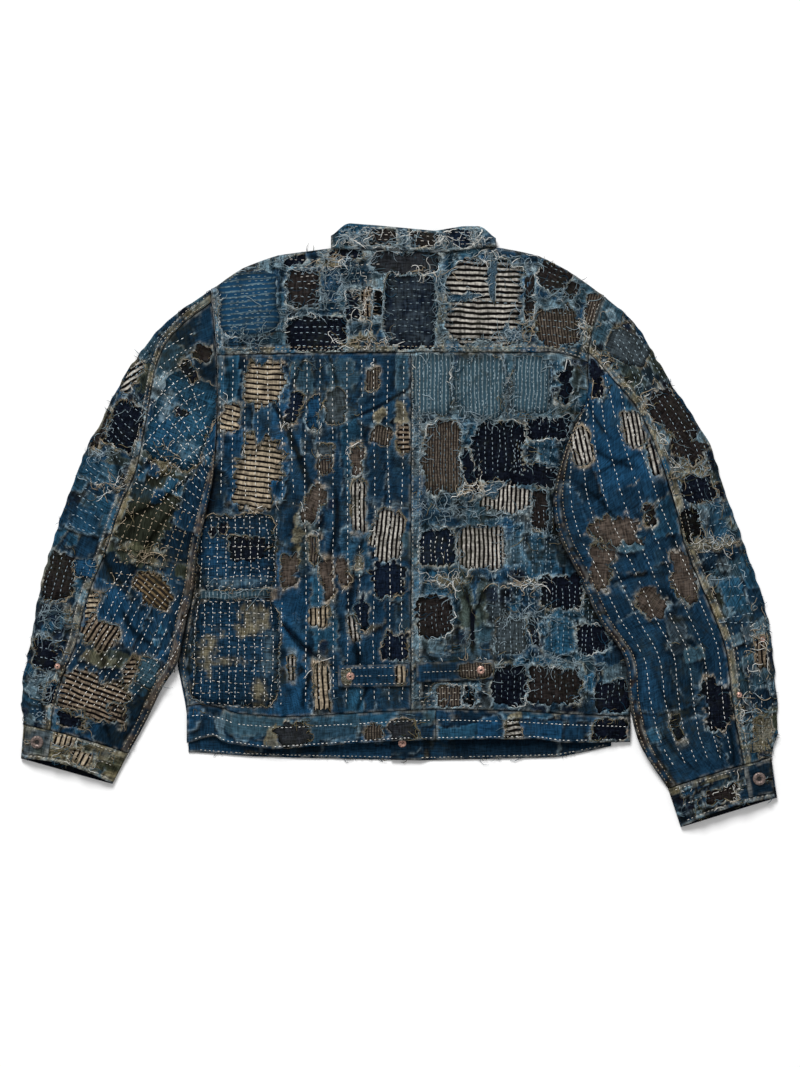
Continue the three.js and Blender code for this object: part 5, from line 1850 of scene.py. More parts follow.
def metal_material(name, bright, dark, metallic):
    """Dull old metal with blotches."""
    material, tree, shader = new_material(name)
    place = node(tree, "TexCoord").outputs["Object"]
    blotch = noise(tree, place, 420.0, 4.0).outputs[0]
    dull = soft_step(tree, blotch, 0.38, 0.68)
    metal = blend(tree, dull, (*linear(*bright), 1), (*linear(*dark), 1))
    tree.links.new(metal, shader.inputs["Base Color"])
    shader.inputs["Metallic"].default_value = metallic
    tree.links.new(calc(tree, "MULTIPLY_ADD", dull, 0.3, 0.38), shader.inputs["Roughness"])
    scratch = noise(tree, place, 1600.0, 2.0).outputs[0]
    bump = node(tree, "Bump", {"Height": scratch, "Distance": 0.08 * MM, "Strength": 0.6})
    tree.links.new(bump.outputs[0], shader.inputs["Normal"])
    return material


def floor_material():
    material, tree, shader = new_material("pale_floor")
    place = node(tree, "TexCoord").outputs["Object"]
    grain = noise(tree, place, 40.0, 4.0).outputs[0]
    floor = blend(tree, grain, (0.94, 0.94, 0.94, 1), (0.97, 0.97, 0.97, 1))
    tree.links.new(floor, shader.inputs["Base Color"])
    shader.inputs["Roughness"].default_value = 0.9
    shader.inputs["Specular IOR Level"].default_value = 0.1
    return material


STRIPES = table("cloth light dark share period", """
cream_stripe cream soot 0.6 6.4
black_stripe bone soot 0.46 6.6
bone_stripe bone soot 0.48 5.4
tan_stripe tan soot 0.5 6.0
clay_stripe clay umber 0.46 6.0
brown_rib bark umber 0.56 3.4
slate_rib pale teal 0.28 4.8
blue_rib faded bright 0.3 7.0
""")
STRIPE_OF = {row["cloth"]: row for row in STRIPES}
MATERIAL["worn"] = worn_material()
MATERIAL["scrap"] = scrap_material()
MATERIAL["thread"] = thread_material()
MATERIAL["ring"] = metal_material("dull_ring_metal", (124, 108, 102), (58, 50, 48), 0.45)
MATERIAL["hollow"] = metal_material("dark_hollow", (26, 22, 21), (10, 9, 9), 0.2)
MATERIAL["copper"] = metal_material("aged_copper", (205, 165, 150), (122, 92, 82), 0.75)
MATERIAL["floor"] = floor_material()
for stripe_row in STRIPES:
    MATERIAL[stripe_row["cloth"]] = stripe_material(
        stripe_row["cloth"], stripe_row["light"], stripe_row["dark"], stripe_row["share"],
    )


# Patches

PATCH_GRID = {"around": 2.0, "inward": 2.8}  # spacing of a patch's points
PATCH_LIFT = {"under": 0.4, "laid": 0.95, "over": 0.8}
PATCH_FEWEST = {"around": 16, "rings": 3}
# A patch's edge: where it starts to dip and how far, how deep its hem is, and where its painted edge shade starts
PATCH_EDGE = {"dip_from": 0.9, "dip": 0.45, "hem": 1.2, "dark_from": 0.72}
FRAYED_TONE = {"frayed": ("blue", 0.8), "khaki": ("khaki", 0.75)}  # scraps in the worn cloth: ink and fray


def patch_outline(hole, seed, count):
    """Directions from a patch's middle and how far away its outline is in each."""
    angle = np.linspace(0, TURN, count, endpoint=False)
    reach = np.linspace(0, 0.95 * max(hole["width"], hole["depth"]), 90)[None, :]
    x = hole["x"] + np.cos(angle)[:, None] * reach
    y = hole["y"] + np.sin(angle)[:, None] * reach
    away = outline_distance(hole, x, y, seed)
    first = np.argmax(away > 0, axis=1)
    rows = np.arange(count)
    before, after = away[rows, first - 1], away[rows, first]
    return angle, reach[0, first - 1] + (reach[0, 1] - reach[0, 0]) * before / (before - after)


def patch_points(hole, seed):
    """Points, faces and marks of one patch lying on its panel."""
    around = 2 * (hole["width"] + hole["depth"])
    count = max(PATCH_FEWEST["around"], round(around / PATCH_GRID["around"]))
    inward = min(hole["width"], hole["depth"]) / 2
    rings = max(PATCH_FEWEST["rings"], round(inward / PATCH_GRID["inward"]))
    angle, reach = patch_outline(hole, seed, count)
    share = np.linspace(0, 1, rings + 1)[1:, None]
    x = np.append(hole["x"], hole["x"] + share * reach * np.cos(angle))
    y = np.append(hole["y"], hole["y"] + share * reach * np.sin(angle))
    z = drop_on_top(hole["panel"], x, y) + PATCH_LIFT[hole["way"]]
    edge = np.append(0, np.broadcast_to(share, (rings, count)))
    z = z - PATCH_EDGE["dip"] * ramp(PATCH_EDGE["dip_from"], 1, edge)
    hem = slice(1 + (rings - 1) * count, None)
    x, y = np.append(x, x[hem]), np.append(y, y[hem])
    z, edge = np.append(z, z[hem] - PATCH_EDGE["hem"]), np.append(edge, edge[hem])
    grid = np.arange(1, 1 + (rings + 1) * count).reshape(rings + 1, count)
    looped = np.hstack([grid, grid[:, :1]])
    quads = np.stack([looped[:-1, :-1], looped[1:, :-1], looped[1:, 1:], looped[:-1, 1:]], -1).reshape(-1, 4)
    fan = np.stack([np.zeros(count, int), looped[0, :-1], looped[0, 1:]], -1)
    there = np.isfinite(z)
    quads, fan = quads[there[quads].all(1)], fan[there[fan].all(1)]
    return np.stack([x, y, np.nan_to_num(z)], -1), quads, fan, ramp(PATCH_EDGE["dark_from"], 1, edge)


def patch_marks(hole, seed, points, edge):
    """Colour and cloth places of a patch's points; its fray mark is the painted shade at its edge, or the real fray of
    a worn scrap.
    """
    x, y = points[:, 0], points[:, 1]
    u, v = turned(x - hole["x"], y - hole["y"], -hole["turn"] - hole["lay"])
    period = STRIPE_OF[hole["cloth"]]["period"] if hole["cloth"] in STRIPE_OF else 1.0
    bent = v + 0.9 * lumps(x, y, 24, seed)
    lay = np.stack([u / period, bent / period, np.full(len(u), float(seed))], -1)
    shade, fray = FRAYED_TONE.get(hole["cloth"], (hole["cloth"], None))
    ink = INK.get(shade, INK["khaki"]) * (1.0 if fray is None else 0.55)
    patchy = 1 + 0.28 * lumps(x, y, 13, seed) + 0.18 * lumps(x, y, 5, seed)
    tone = ink * patchy[:, None]
    for step, tint in enumerate(rows_for(PATCH_TINTS, hole["node"])):
        away = outline_distance(tint, x, y, seed + 40 + step)
        share = ramp(1.5, -2.5, away) * tint["strength"] * broken(x, y, 0.7, (0.8, 5, seed + step))
        tone = mix(tone, INK[tint["ink"]], share[:, None])
    # fray holds the painted shade towards the patch's edge
    marks = {"tone": np.clip(tone, 0.002, 0.9), "lay": lay, "fray": edge}
    if fray is not None:
        marks["fray"] = np.full(len(u), fray)
        # no painted relief shade on a frayed scrap
        marks["crest"] = np.full(len(u), 0.5)
    return marks


def patch_look(cloth):
    """The material of a patch's cloth."""
    if cloth in FRAYED_TONE:
        return "worn"
    return cloth if cloth in STRIPE_OF else "scrap"


def used_only(points, parts, marks):
    """Drops the points that no face uses."""
    used, numbers = np.unique(np.concatenate([part.ravel() for part in parts]), return_inverse=True)
    renumbered, start = [], 0
    for part in parts:
        renumbered.append(numbers[start:start + part.size].reshape(part.shape))
        start += part.size
    return points[used], renumbered, {key: values[used] for key, values in marks.items()}


def build_patches():
    """Each patch that is a node of the part, and the others of a panel joined by cloth; laid ones first."""
    joined, covers = {}, {}
    levels = ("laid", "under", "over")
    order = sorted(enumerate(HOLES), key=lambda item: levels.index(item[1]["way"]))
    level = levels[0]
    for seed, hole in order:
        if hole["way"] != level:
            cover_panels(covers)
            level = hole["way"]
        points, quads, fan, edge = patch_points(hole, seed)
        marks = patch_marks(hole, seed, points, edge)
        points, parts, marks = used_only(points, [quads, fan], marks)
        look = patch_look(hole["cloth"])
        covers.setdefault(hole["panel"], []).append((points, parts))
        if hole["node"]:
            piece = mesh_piece("cloth_" + hole["node"], points, parts, look, marks)
            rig.replaces(piece, hole["node"])
            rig.slot(piece, node_slot(hole["node"]))
            PANELS[hole["panel"]]["with"].append(piece)
            continue
        joined.setdefault((hole["panel"], look), []).append((points, parts, marks))
    cover_panels(covers)
    for (panel, look), found in joined.items():
        points, parts, marks = zip(*found)
        starts = np.cumsum([0] + [len(part) for part in points])
        faces = [np.vstack([part[k] + start for part, start in zip(parts, starts)]) for k in range(2)]
        marks = {key: np.concatenate([part[key] for part in marks]) for key in marks[0]}
        piece = mesh_piece(f"scraps_{panel}_{look}", np.vstack(points), faces, look, marks)
        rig.slot(piece, "striped_cloth" if look in STRIPE_OF else "dark_cloth")
        PANELS[panel]["with"].append(piece)


def cover_panels(covers):
    """Keeps the surfaces of the patches so far, for what is dropped on them."""
    for panel, found in covers.items():
        points, parts = zip(*found)
        starts = np.cumsum([0] + [len(part) for part in points])
        faces = []
        for quads_and_fan, start in zip(parts, starts):
            faces += [face.tolist() for part in quads_and_fan for face in part + start]
        PANELS[panel]["patches"] = BVHTree.FromPolygons(np.vstack(points).tolist(), faces)


def node_slot(name):
    """The record's material slot of a CAD node."""
    return next(row["material_slot"] for row in frame["record"]["subparts"] if row["node"] == name)


# Running stitches

STITCH = {"length": 4.0, "pitch": 6.0, "width": 1.0, "height": 0.5, "foot": -0.25, "end": -0.3}
# How uneven the stitches are: their starts and the lengths next to the usual ones, tones next to the ink
STITCHED = {"start": 0.07, "length": (0.75, 1.15), "missing": 0.05, "aside": 0.5, "tone": (0.7, 1.2)}
STITCH_SEED = 900
TOPSTITCH = {"band": 5.4, "sleeve": 4.6, "yoke": 5.0, "centre": 5.0, "side": 4.8}  # from stitch to stitch
STEADY = {"short": 0.2, "long": 0.3}  # how far a row of topstitching wanders
# Rows of stitches on the body: the ends of the first row, the ends of the last row, how many rows,
# the distance from stitch to stitch, and the thread
BODY_ROWS = table("panel x1 y1 x2 y2 x3 y3 x4 y4 rows pitch ink", """
yoke:
  -220 312 -156 318 -216 240 -160 236 16 7.4 pale
  -136 314 -100 314 -136 276 -100 276 5 8.4 mist
  -134 256 -70 256 -134 222 -68 222 5 7.6 mist
  -14 304 42 304 -12 230 42 230 9 7.0 pale
  -150 330 -20 338 -80 262 -20 260 8 7 bone
  64 330 150 326 64 230 150 230 3 9 mist
  174 268 222 262 176 228 222 226 5 7.0 pale
  182 328 212 312 182 298 212 292 4 7.0 pale
back_left:
  -222 208 -222 32 -132 208 -132 20 7 7.0 chalk
  -116 210 -116 -226 4 210 4 -226 8 7.0 chalk
  -246 10 -152 10 -246 -78 -152 -78 8 7.2 bone
  -244 14 -248 -80 -154 12 -154 -80 10 5.4 chalk
  -250 -96 -148 -94 -256 -222 -148 -228 10 7.2 bone
  -252 -92 -258 -224 -148 -94 -148 -228 11 5.4 chalk
back_right:
  24 208 24 130 196 208 196 130 25 5.6 mist
  36 122 36 50 74 122 74 50 6 6.4 faded
  100 128 100 60 150 128 150 60 7 6.4 mist
  164 134 164 110 210 134 210 110 5 6.4 mist
  146 108 146 60 190 108 190 60 7 5.6 mist
  24 -10 24 -54 62 -10 62 -54 6 6.0 chalk
  120 16 120 -70 190 20 190 -70 10 5.6 mist
  24 52 24 0 84 52 84 0 8 5.8 faded
  118 -74 118 -168 242 -74 242 -168 18 5.8 mist
  120 -176 120 -224 276 -176 276 -226 20 6.6 pale
  26 -96 26 -140 62 -96 62 -140 6 6.6 pale
  24 -60 24 -92 110 -60 110 -92 10 6.0 faded
  26 -202 110 -200 26 -226 110 -226 4 7 bone
collar_back:
  -74 372 108 370 -78 350 114 350 5 7.5 bone
""")
# Rows on the sleeves, along them (long) or across: sections and shares of the way across, and how far
# a row drifts aside from its start to its end
SLEEVE_ROWS = table("panel side way start end near far drift rows pitch ink", """
sleeve_left_under:
  left long 0.5 3.0 0.1 0.84 0.2 11 6.2 chalk
  left across 0.5 3.0 0.06 0.86 0.5 10 6.2 chalk
  left long 3.0 5.2 0.1 0.58 0.08 7 6.4 cream
  left across 3.0 5.2 0.1 0.6 0.5 9 6.4 cream
  left long 5.2 8.9 -0.1 0.5 0.32 11 5.7 chalk
sleeve_left_top:
  left long 0.6 2.0 0.93 0.97 0 2 6.4 mist
  left across 2.0 4.8 0.74 0.97 0 18 6.4 mist
  left long 5.4 6.6 0.76 0.97 0 5 6.4 mist
  left across 6.8 9.6 0.78 0.97 0 14 6.4 mist
sleeve_right_under:
  right long 1.0 9.6 0.1 0.6 0.05 6 6.2 chalk
sleeve_right_top:
  right long 0.6 4.4 0.76 0.97 0 5 6.4 mist
  right across 4.4 6.4 0.74 0.97 0 12 6.4 mist
  right long 6.4 9.6 0.76 0.97 0 4 6.4 bone
""")
# Topstitching along seams: on the body by x along a seam's table, its distance from the seam
SEAM_ROWS = records(
    "panel table start end away ink",
    ("yoke", YOKE_SEAM, -222, 230, 3.2, "bone"),
    ("yoke", YOKE_SEAM, -222, 230, 7.6, "cream"),
    ("waistband_back_left", WAIST_SEAM, -262, 44, -13, "chalk"),
    ("waistband_back_right", WAIST_SEAM, 48, 286, -13, "chalk"),
    ("waistband_back_left", BACK_HEM, -260, 44, 3.2, "chalk"),
    ("waistband_back_right", BACK_HEM, 48, 284, 3.2, "chalk"),
    ("waistband_front_left", FRONT_HEM, -250, 20, 3.4, "bone"),
    ("waistband_front_right", FRONT_HEM, 26, 262, 3.4, "bone"),
)
STRAP_ROWS = {"left": (-0.36, 0.0, 0.36), "right": (0.0,)}  # rows along a strap, as shares of its depth
STITCHES = {}
ROW_ENDS = (("x1", "x3"), ("y1", "y3"), ("x2", "x4"), ("y2", "y4"))  # from the first row to the last


def stitch_line(panel, x, y, pitch, ink, chance, wander=0.5):
    """Adds a row of stitches along a line of places."""
    way = np.concatenate([[0], np.cumsum(np.hypot(np.diff(x), np.diff(y)))])
    if way[-1] < 2 * pitch:
        return
    starts = np.arange(chance.uniform(0, pitch), way[-1] - pitch, pitch)
    starts = starts + chance.normal(0, STITCHED["start"] * pitch, len(starts))
    length = STITCH["length"] * pitch / STITCH["pitch"] * chance.uniform(*STITCHED["length"], len(starts))
    kept = chance.random(len(starts)) > STITCHED["missing"]
    starts, length = starts[kept], length[kept]
    side = chance.normal(0, wander * STITCHED["aside"], len(starts))
    rows = []
    for at in (starts, starts + length):
        rows += [np.interp(at, way, x) + side, np.interp(at, way, y) + side]
    tone = INK[ink] * chance.uniform(*STITCHED["tone"], (len(starts), 1))
    STITCHES.setdefault(panel, []).append((np.stack(rows, -1), tone))


# How rows of stitches wander, along each row and from row to row
ROW_BENDS = records(
    "kind height along apart size seed",
    ("body", 2.2, 90, 400, 30, 17), ("long", 0.008, 90, 300, 20, 18), ("across", 0.05, 60, 300, 20, 19),
)
ROW_BEND = {row["kind"]: row for row in ROW_BENDS}


def sleeve_bend(kind, step, share):
    bend = ROW_BEND[kind]
    place = (step * bend["along"], share * bend["apart"] + 0 * step)
    return bend["height"] * lumps(*place, bend["size"], bend["seed"])


def place_body_rows(chance):
    bend = ROW_BEND["body"]
    for row in BODY_ROWS:
        for share in np.linspace(0, 1, row["rows"]):
            x1, y1, x2, y2 = (mix(row[first], row[last], share) for first, last in ROW_ENDS)
            step = np.linspace(0, 1, 40)
            place = step * bend["along"] + share * bend["apart"]
            aside = bend["height"] * lumps(place, 0 * step, bend["size"], bend["seed"])
            upright = abs(y2 - y1) > abs(x2 - x1)
            x, y = mix(x1, x2, step) + aside * upright, mix(y1, y2, step) + aside * (not upright)
            stitch_line(row["panel"], x, y, row["pitch"], row["ink"], chance)


def place_sleeve_rows(chance):
    step = np.linspace(0, 1, 60)
    for row in SLEEVE_ROWS:
        for share in np.linspace(0, 1, row["rows"]):
            if row["way"] == "long":
                along = mix(row["start"], row["end"], step)
                across = mix(row["near"], row["far"], share) + row["drift"] * step
                across = across + sleeve_bend("long", step, share)
            else:
                along = mix(row["start"], row["end"], share) + row["drift"] * step
                along = along + sleeve_bend("across", step, share)
                across = mix(row["near"], row["far"], step)
            x, y = sleeve_place(row["side"], along, across)
            stitch_line(row["panel"], x, y, row["pitch"], row["ink"], chance)


def place_topstitching(side, chance):
    """Rows along the seams of a sleeve, a cuff, a strap and the armhole of one side."""
    def topstitch(panel, x, y, kind, ink="bone"):
        stitch_line(panel, x, y, TOPSTITCH[kind], ink, chance, STEADY["short"])

    along = np.linspace(0.15, LAST_SECTION - 0.1, 200)
    seam = on_curve(SLEEVE[side], along, "seam")
    rows = (
        ("top", seam + 0.014, "cream"), ("top", seam + 0.05, "bone"),
        ("under", 0.02 + 0 * along, "cream"), ("under", 0.065 + 0 * along, "cream"),
    )
    for panel, across, ink in rows:
        topstitch(f"sleeve_{side}_{panel}", *sleeve_place(side, along, across), "sleeve", ink)
    share = np.linspace(0.05, 0.95, 90)
    for down in (0.08, 0.5, 0.9):
        topstitch("cuff_" + side, *cuff_place(side, down, share, 1), "band")
    strap = CINCH[side]
    step = np.linspace(-0.45, 0.45, 40) * strap["width"]
    for lift in STRAP_ROWS[side]:
        y = strap["y"] + step * strap["slope"] + lift * strap["depth"]
        topstitch("cinch_" + side, strap["x"] + step, y, "band")
    y = np.linspace(max(ARMHOLE[side]["foot_y"], YOKE_FOOT[side]) + 6, ARMHOLE[side]["top_y"] - 6, 80)
    for away in (2.4, 7.4):
        topstitch("yoke", body_edge(side, y) - OUTWARD[side] * away, y, "yoke")


def place_stitches():
    chance = np.random.default_rng(STITCH_SEED)
    place_body_rows(chance)
    place_sleeve_rows(chance)
    for row in SEAM_ROWS:
        x = np.linspace(row["start"], row["end"], 160)
        y = between(row["table"], "x", x, "y", 5) + row["away"]
        stitch_line(row["panel"], x, y, TOPSTITCH["band"], row["ink"], chance, STEADY["short"])
    for side in SIDES:
        place_topstitching(side, chance)
    y = np.linspace(206, -226, 160)
    for away in (2.2, 10.6):
        x = CENTRE_BACK + away + 0 * y
        stitch_line("back_right", x, y, TOPSTITCH["centre"], "bone", chance, STEADY["long"])
    y = np.linspace(50, -222, 120)
    stitch_line("back_left", body_edge("left", y) + 7, y, TOPSTITCH["side"], "cream", chance, STEADY["long"])


def build_stitches():
    """Each stitch as a small closed grain, eight points and nine faces."""
    for panel, found in STITCHES.items():
        rows = np.vstack([row for row, _ in found])
        tone = np.vstack([part for _, part in found])
        start, end = rows[:, :2], rows[:, 2:]
        heights = [drop_on_top(panel, *(mix(start, end, share).T)) for share in (0.0, 0.5, 1.0)]
        there = np.isfinite(heights).all(0)
        start, end, tone = start[there], end[there], tone[there]
        low, middle, high = (part[there] for part in heights)
        way = (end - start) / np.linalg.norm(end - start, axis=1, keepdims=True)
        aside = np.stack([-way[:, 1], way[:, 0]], -1) * STITCH["width"] / 2
        rings = []
        for share in (0.25, 0.75):
            place = mix(start, end, share)
            base = np.maximum(mix(low, high, share), middle)
            for across, lift in ((-1, STITCH["foot"]), (0, STITCH["height"]), (1, STITCH["foot"])):
                rings.append(np.column_stack([place + across * aside, base + lift]))
        ends = [np.column_stack([at, height + STITCH["end"]]) for at, height in ((start, low), (end, high))]
        points = np.stack([ends[0], *rings, ends[1]], 1)
        count = len(points)
        base = (np.arange(count) * 8)[:, None, None]
        tips = np.array([(0, 2, 1), (0, 3, 2), (0, 1, 3), (7, 4, 5), (7, 5, 6), (7, 6, 4)])[None] + base
        sides = np.array([(1, 2, 5, 4), (2, 3, 6, 5), (3, 1, 4, 6)])[None] + base
        marks = {"tone": np.repeat(tone, 8, axis=0)}
        faces = [tips.reshape(-1, 3), sides.reshape(-1, 4)]
        piece = mesh_piece("stitches_" + panel, points.reshape(-1, 3), faces, "thread", marks)
        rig.slot(piece, node_slot(panel))
        PANELS[panel]["with"].append(piece)


# Loose threads

THREAD_RADIUS = 0.3
THREAD_STEPS = 7
# How a thread lies: off the cloth, its arch, its radius next to the usual one, at its ends, and its section
TUBE = {
    "lift": (0.4, 1.1), "arch": 0.5, "radius": (0.7, 1.5), "start": 0.7, "end": 0.45, "wide": 0.9, "low": 0.5,
}
# Threads that curl over a panel: how many, their length and their colours
TANGLES = table("panel count length seed inks", """
yoke 560 15 41 mist pale faded faded blue blue
back_right 620 15 42 mist pale faded blue khaki blue
back_left 170 11 43 faded khaki blue chalk
sleeve_left_top 230 14 44 mist pale faded khaki blue indigo
sleeve_left_under 120 11 45 khaki cream faded olive
sleeve_right_top 330 14 46 mist faded khaki cream blue olive
sleeve_right_under 80 11 47 faded khaki teal olive
collar_back 240 13 48 mist pale chalk faded blue
cuff_left 80 10 49 khaki chalk cream faded
cuff_right 70 10 50 khaki olive faded chalk
waistband_back_left 60 10 51 faded khaki olive
waistband_back_right 60 10 52 faded khaki olive
""")
# Snarls of pale thread at places of their own: the middle and size of each, and how many threads
SNARLS = table("panel x y width depth count inks", """
yoke:
  -83 328 34 18 34 chalk cream mist
  -45 228 56 12 50 cream chalk khaki
  -68 290 14 56 40 mist pale faded
  -42 282 14 40 24 cream chalk
  51 286 12 92 60 mist pale faded
  28 316 40 7 18 cream chalk
  108 334 90 9 40 mist pale chalk
  159 250 14 50 34 cream khaki mist
  134 240 40 12 34 mist pale
  -190 234 80 9 20 pale faded
  -132 267 60 8 28 mist pale faded
  190 282 60 10 40 mist pale faded
  238 230 16 44 34 cream chalk khaki
  -94 300 10 50 26 mist pale
back_right:
  62 -70 40 9 40 cream khaki chalk
  162 -74 60 8 40 cream chalk mist
  104 132 120 9 50 mist pale faded
  88 46 40 12 40 mist chalk cream
  152 -112 60 9 34 mist pale
  190 -170 90 9 50 mist pale
  95 -176 60 9 34 chalk cream
  26 100 10 90 40 mist pale
  70 20 60 16 34 pale mist
  205 40 14 60 30 mist pale
back_left:
  -206 -86 88 9 16 mist pale
  -92 196 60 8 16 khaki faded
sleeve_right_top:
  254 202 16 26 20 cream khaki chalk
  280 172 18 30 20 cream khaki chalk
  304 142 16 32 20 cream khaki chalk
  325 98 14 40 20 cream khaki chalk
  344 50 12 44 20 cream khaki chalk
  404 -23 66 7 40 cream chalk mist
  455 -148 18 50 30 cream chalk
  378 72 40 9 24 khaki cream mist
  425 -230 14 46 24 cream khaki chalk
sleeve_left_top:
  -368 132 18 50 26 mist pale faded
  -374 88 40 8 26 mist pale
  -362 50 34 12 20 chalk cream
  -440 -112 36 26 40 mist pale faded
  -442 -200 28 30 26 mist pale
sleeve_left_under:
  -345 14 12 56 22 khaki cream
  -292 80 24 18 22 cream khaki
  -318 -34 44 9 24 cream khaki
collar_back:
  -60 358 40 20 70 chalk mist pale
  104 358 18 20 34 chalk mist
  8 358 10 18 20 mist pale
  55 357 9 18 18 chalk
""")
SNARL_LENGTH = 17.0
FRINGE_GAP = 4.8  # from thread to thread along a hole's edge
EDGE_CORD_GAP = 15.0  # from one pulled cord to the next
# Threads at a hole's edge: stained ones, or clean ones where little is khaki
HOLE_CORDS = (
    ("khaki", "cream", "khaki", "pale", "faded"), ("chalk", "mist", "mist", "pale", "khaki", "faded"),
)
HOLE_FRINGE = (
    ("khaki", "khaki", "tan", "faded", "teal"), ("chalk", "mist", "pale", "pale", "faded", "blue"),
)
THREADS = {}
FRINGES = {}
SNARL_SEED = 2000
HOLE_SEED = 1000
# Seeded ranges and spreads of the threads: lengths in millimetres, turns in radians, tones next to the ink
CURL = {"spread": 2, "turn": 0.45, "bend": 2.4, "length": (0.4, 1.5), "tone": (0.6, 1.2)}
CURLED = {"tangle": 0.5, "snarl": 0.7}
SNARL_SPREAD = 0.3  # as a share of a snarl's size
CORD = {"spread": 0.6, "length": (8, 24), "away": (0.6, 1.1), "tone": (0.6, 1.25), "fewest": 5}
FRINGE = {
    "spread": 0.7, "length": (2.2, 7.0), "away": (1.2, 0.7), "tone": (0.55, 1.05),
    "aim": 0.5, "turn": 0.3, "bend": 0.5, "points": 3,
}
FRAYED_SIDES = 3  # of a hole
OUTLINE_POINTS = 120


def thread_tones(chance, names, count, tone):
    """Seeded colours out of some inks, each made darker or lighter."""
    inks = np.array([INK[name] for name in names])
    return inks[chance.integers(len(inks), size=count)] * chance.uniform(*tone, (count, 1))


def curls(chance, row, start, length, curl):
    """Adds threads from their starting places, each bent in one smooth curl along or across the cloth."""
    count = row["count"]
    share = np.linspace(0, 1, THREAD_STEPS - 1)[None, :]
    turn = chance.integers(4, size=(count, 1)) * math.pi / 2 + chance.normal(0, CURL["turn"], (count, 1))
    swing = chance.normal(0, curl, (count, 1)) * np.sin(2 * math.pi * (share + chance.random((count, 1))))
    bend = turn + chance.normal(0, CURL["bend"] * curl, (count, 1)) * share + swing
    step = (length * chance.uniform(*CURL["length"], count) / (THREAD_STEPS - 1))[:, None]
    x = start[:, :1] + np.pad(np.cumsum(np.cos(bend) * step, 1), ((0, 0), (1, 0)))
    y = start[:, 1:] + np.pad(np.cumsum(np.sin(bend) * step, 1), ((0, 0), (1, 0)))
    tone = thread_tones(chance, row["inks"].split(), count, CURL["tone"])
    THREADS.setdefault(row["panel"], []).append((x, y, tone))


def hole_threads(seed, hole):
    """Broken cords along a hole's edge, and a fringe that points into it, on its three most frayed sides."""
    chance = np.random.default_rng(HOLE_SEED + seed)
    clean = hole["panel"] in HALO_WARM
    around = 2 * (hole["width"] + hole["depth"])
    angle, reach = patch_outline(hole, seed, OUTLINE_POINTS)
    count = max(CORD["fewest"], round(around / EDGE_CORD_GAP))
    frayed_sides = chance.uniform(0, TURN, FRAYED_SIDES)

    def some_sides(spread):
        middles = frayed_sides[chance.integers(FRAYED_SIDES, size=count)]
        return (middles + chance.normal(0, spread, count)) % TURN

    def outline(place):
        return np.interp(place % TURN, np.append(angle, TURN), np.append(reach, reach[0]))

    start = some_sides(CORD["spread"])
    span = chance.uniform(*CORD["length"], count) / around * TURN
    place = start[:, None] + span[:, None] * np.linspace(0, 1, THREAD_STEPS)[None, :]
    away = outline(place) + chance.normal(*CORD["away"], place.shape)
    x, y = hole["x"] + away * np.cos(place), hole["y"] + away * np.sin(place)
    tone = thread_tones(chance, HOLE_CORDS[clean], count, CORD["tone"])
    THREADS.setdefault(hole["panel"], []).append((x, y, tone))

    count = round(around / FRINGE_GAP * (LAID_WEAR if hole["way"] == "laid" else 1))
    place = some_sides(FRINGE["spread"])
    away = outline(place) + chance.normal(*FRINGE["away"], count)
    x, y = hole["x"] + away * np.cos(place), hole["y"] + away * np.sin(place)
    inward = place + math.pi + chance.normal(0, FRINGE["aim"], count)
    inward = np.round(inward / (math.pi / 2)) * math.pi / 2  # along or across the cloth
    inward = inward + math.radians(hole["turn"]) + chance.normal(0, FRINGE["turn"], count)
    length = chance.uniform(*FRINGE["length"], count)
    step = np.linspace(0, 1, FRINGE["points"])[None, :]
    bend = inward[:, None] + chance.normal(0, FRINGE["bend"], (count, 1)) * step
    x = x[:, None] + length[:, None] * step * np.cos(bend)
    y = y[:, None] + length[:, None] * step * np.sin(bend)
    tone = thread_tones(chance, HOLE_FRINGE[clean], count, FRINGE["tone"])
    FRINGES.setdefault(hole["panel"], []).append((x, y, tone))


def place_threads():
    """Curls over the frayed cloth, snarls, and the threads of holes."""
    for row in TANGLES:
        chance = np.random.default_rng(row["seed"])
        spots = PANELS[row["panel"]]["spots"]
        start = spots[chance.integers(len(spots), size=row["count"])]
        start = start + chance.normal(0, CURL["spread"], (row["count"], 2))
        curls(chance, row, start, row["length"], CURLED["tangle"])
    for seed, row in enumerate(SNARLS):
        chance = np.random.default_rng(SNARL_SEED + seed)
        offset = chance.normal(0, SNARL_SPREAD, (row["count"], 2)) * (row["width"], row["depth"])
        curls(chance, row, offset + (row["x"], row["y"]), SNARL_LENGTH, CURLED["snarl"])
    for seed, hole in enumerate(HOLES):
        hole_threads(seed, hole)


# Threads that stick out past an edge of the jacket: their count and the seeds of their places
EDGE_COUNT = {"sleeve": 150, "inner": 60, "shoulder": 120, "collar": 60, "cuff": 26, "hem": 36}
EDGE_SEED = {"sleeve": 70, "inner": 70, "cuff": 74, "hem": 76, "shoulder": 78, "collar": 79}
EDGE_INKS = ("blue", "indigo", "deep", "faded", "olive", "khaki")
EDGE_BUNCH = 5  # threads that start near one place
EDGE_THREAD = {
    "spread": 1.2, "shape": 2.0, "scale": 2.0, "shortest": 1.5, "longest": 14, "points": 4,
    "turn": 0.8, "bend": 1.1, "fall": (0.1, 0.55), "lowest": 0.6, "tone": (0.5, 1.0),
}
EDGE_THREADS = {}


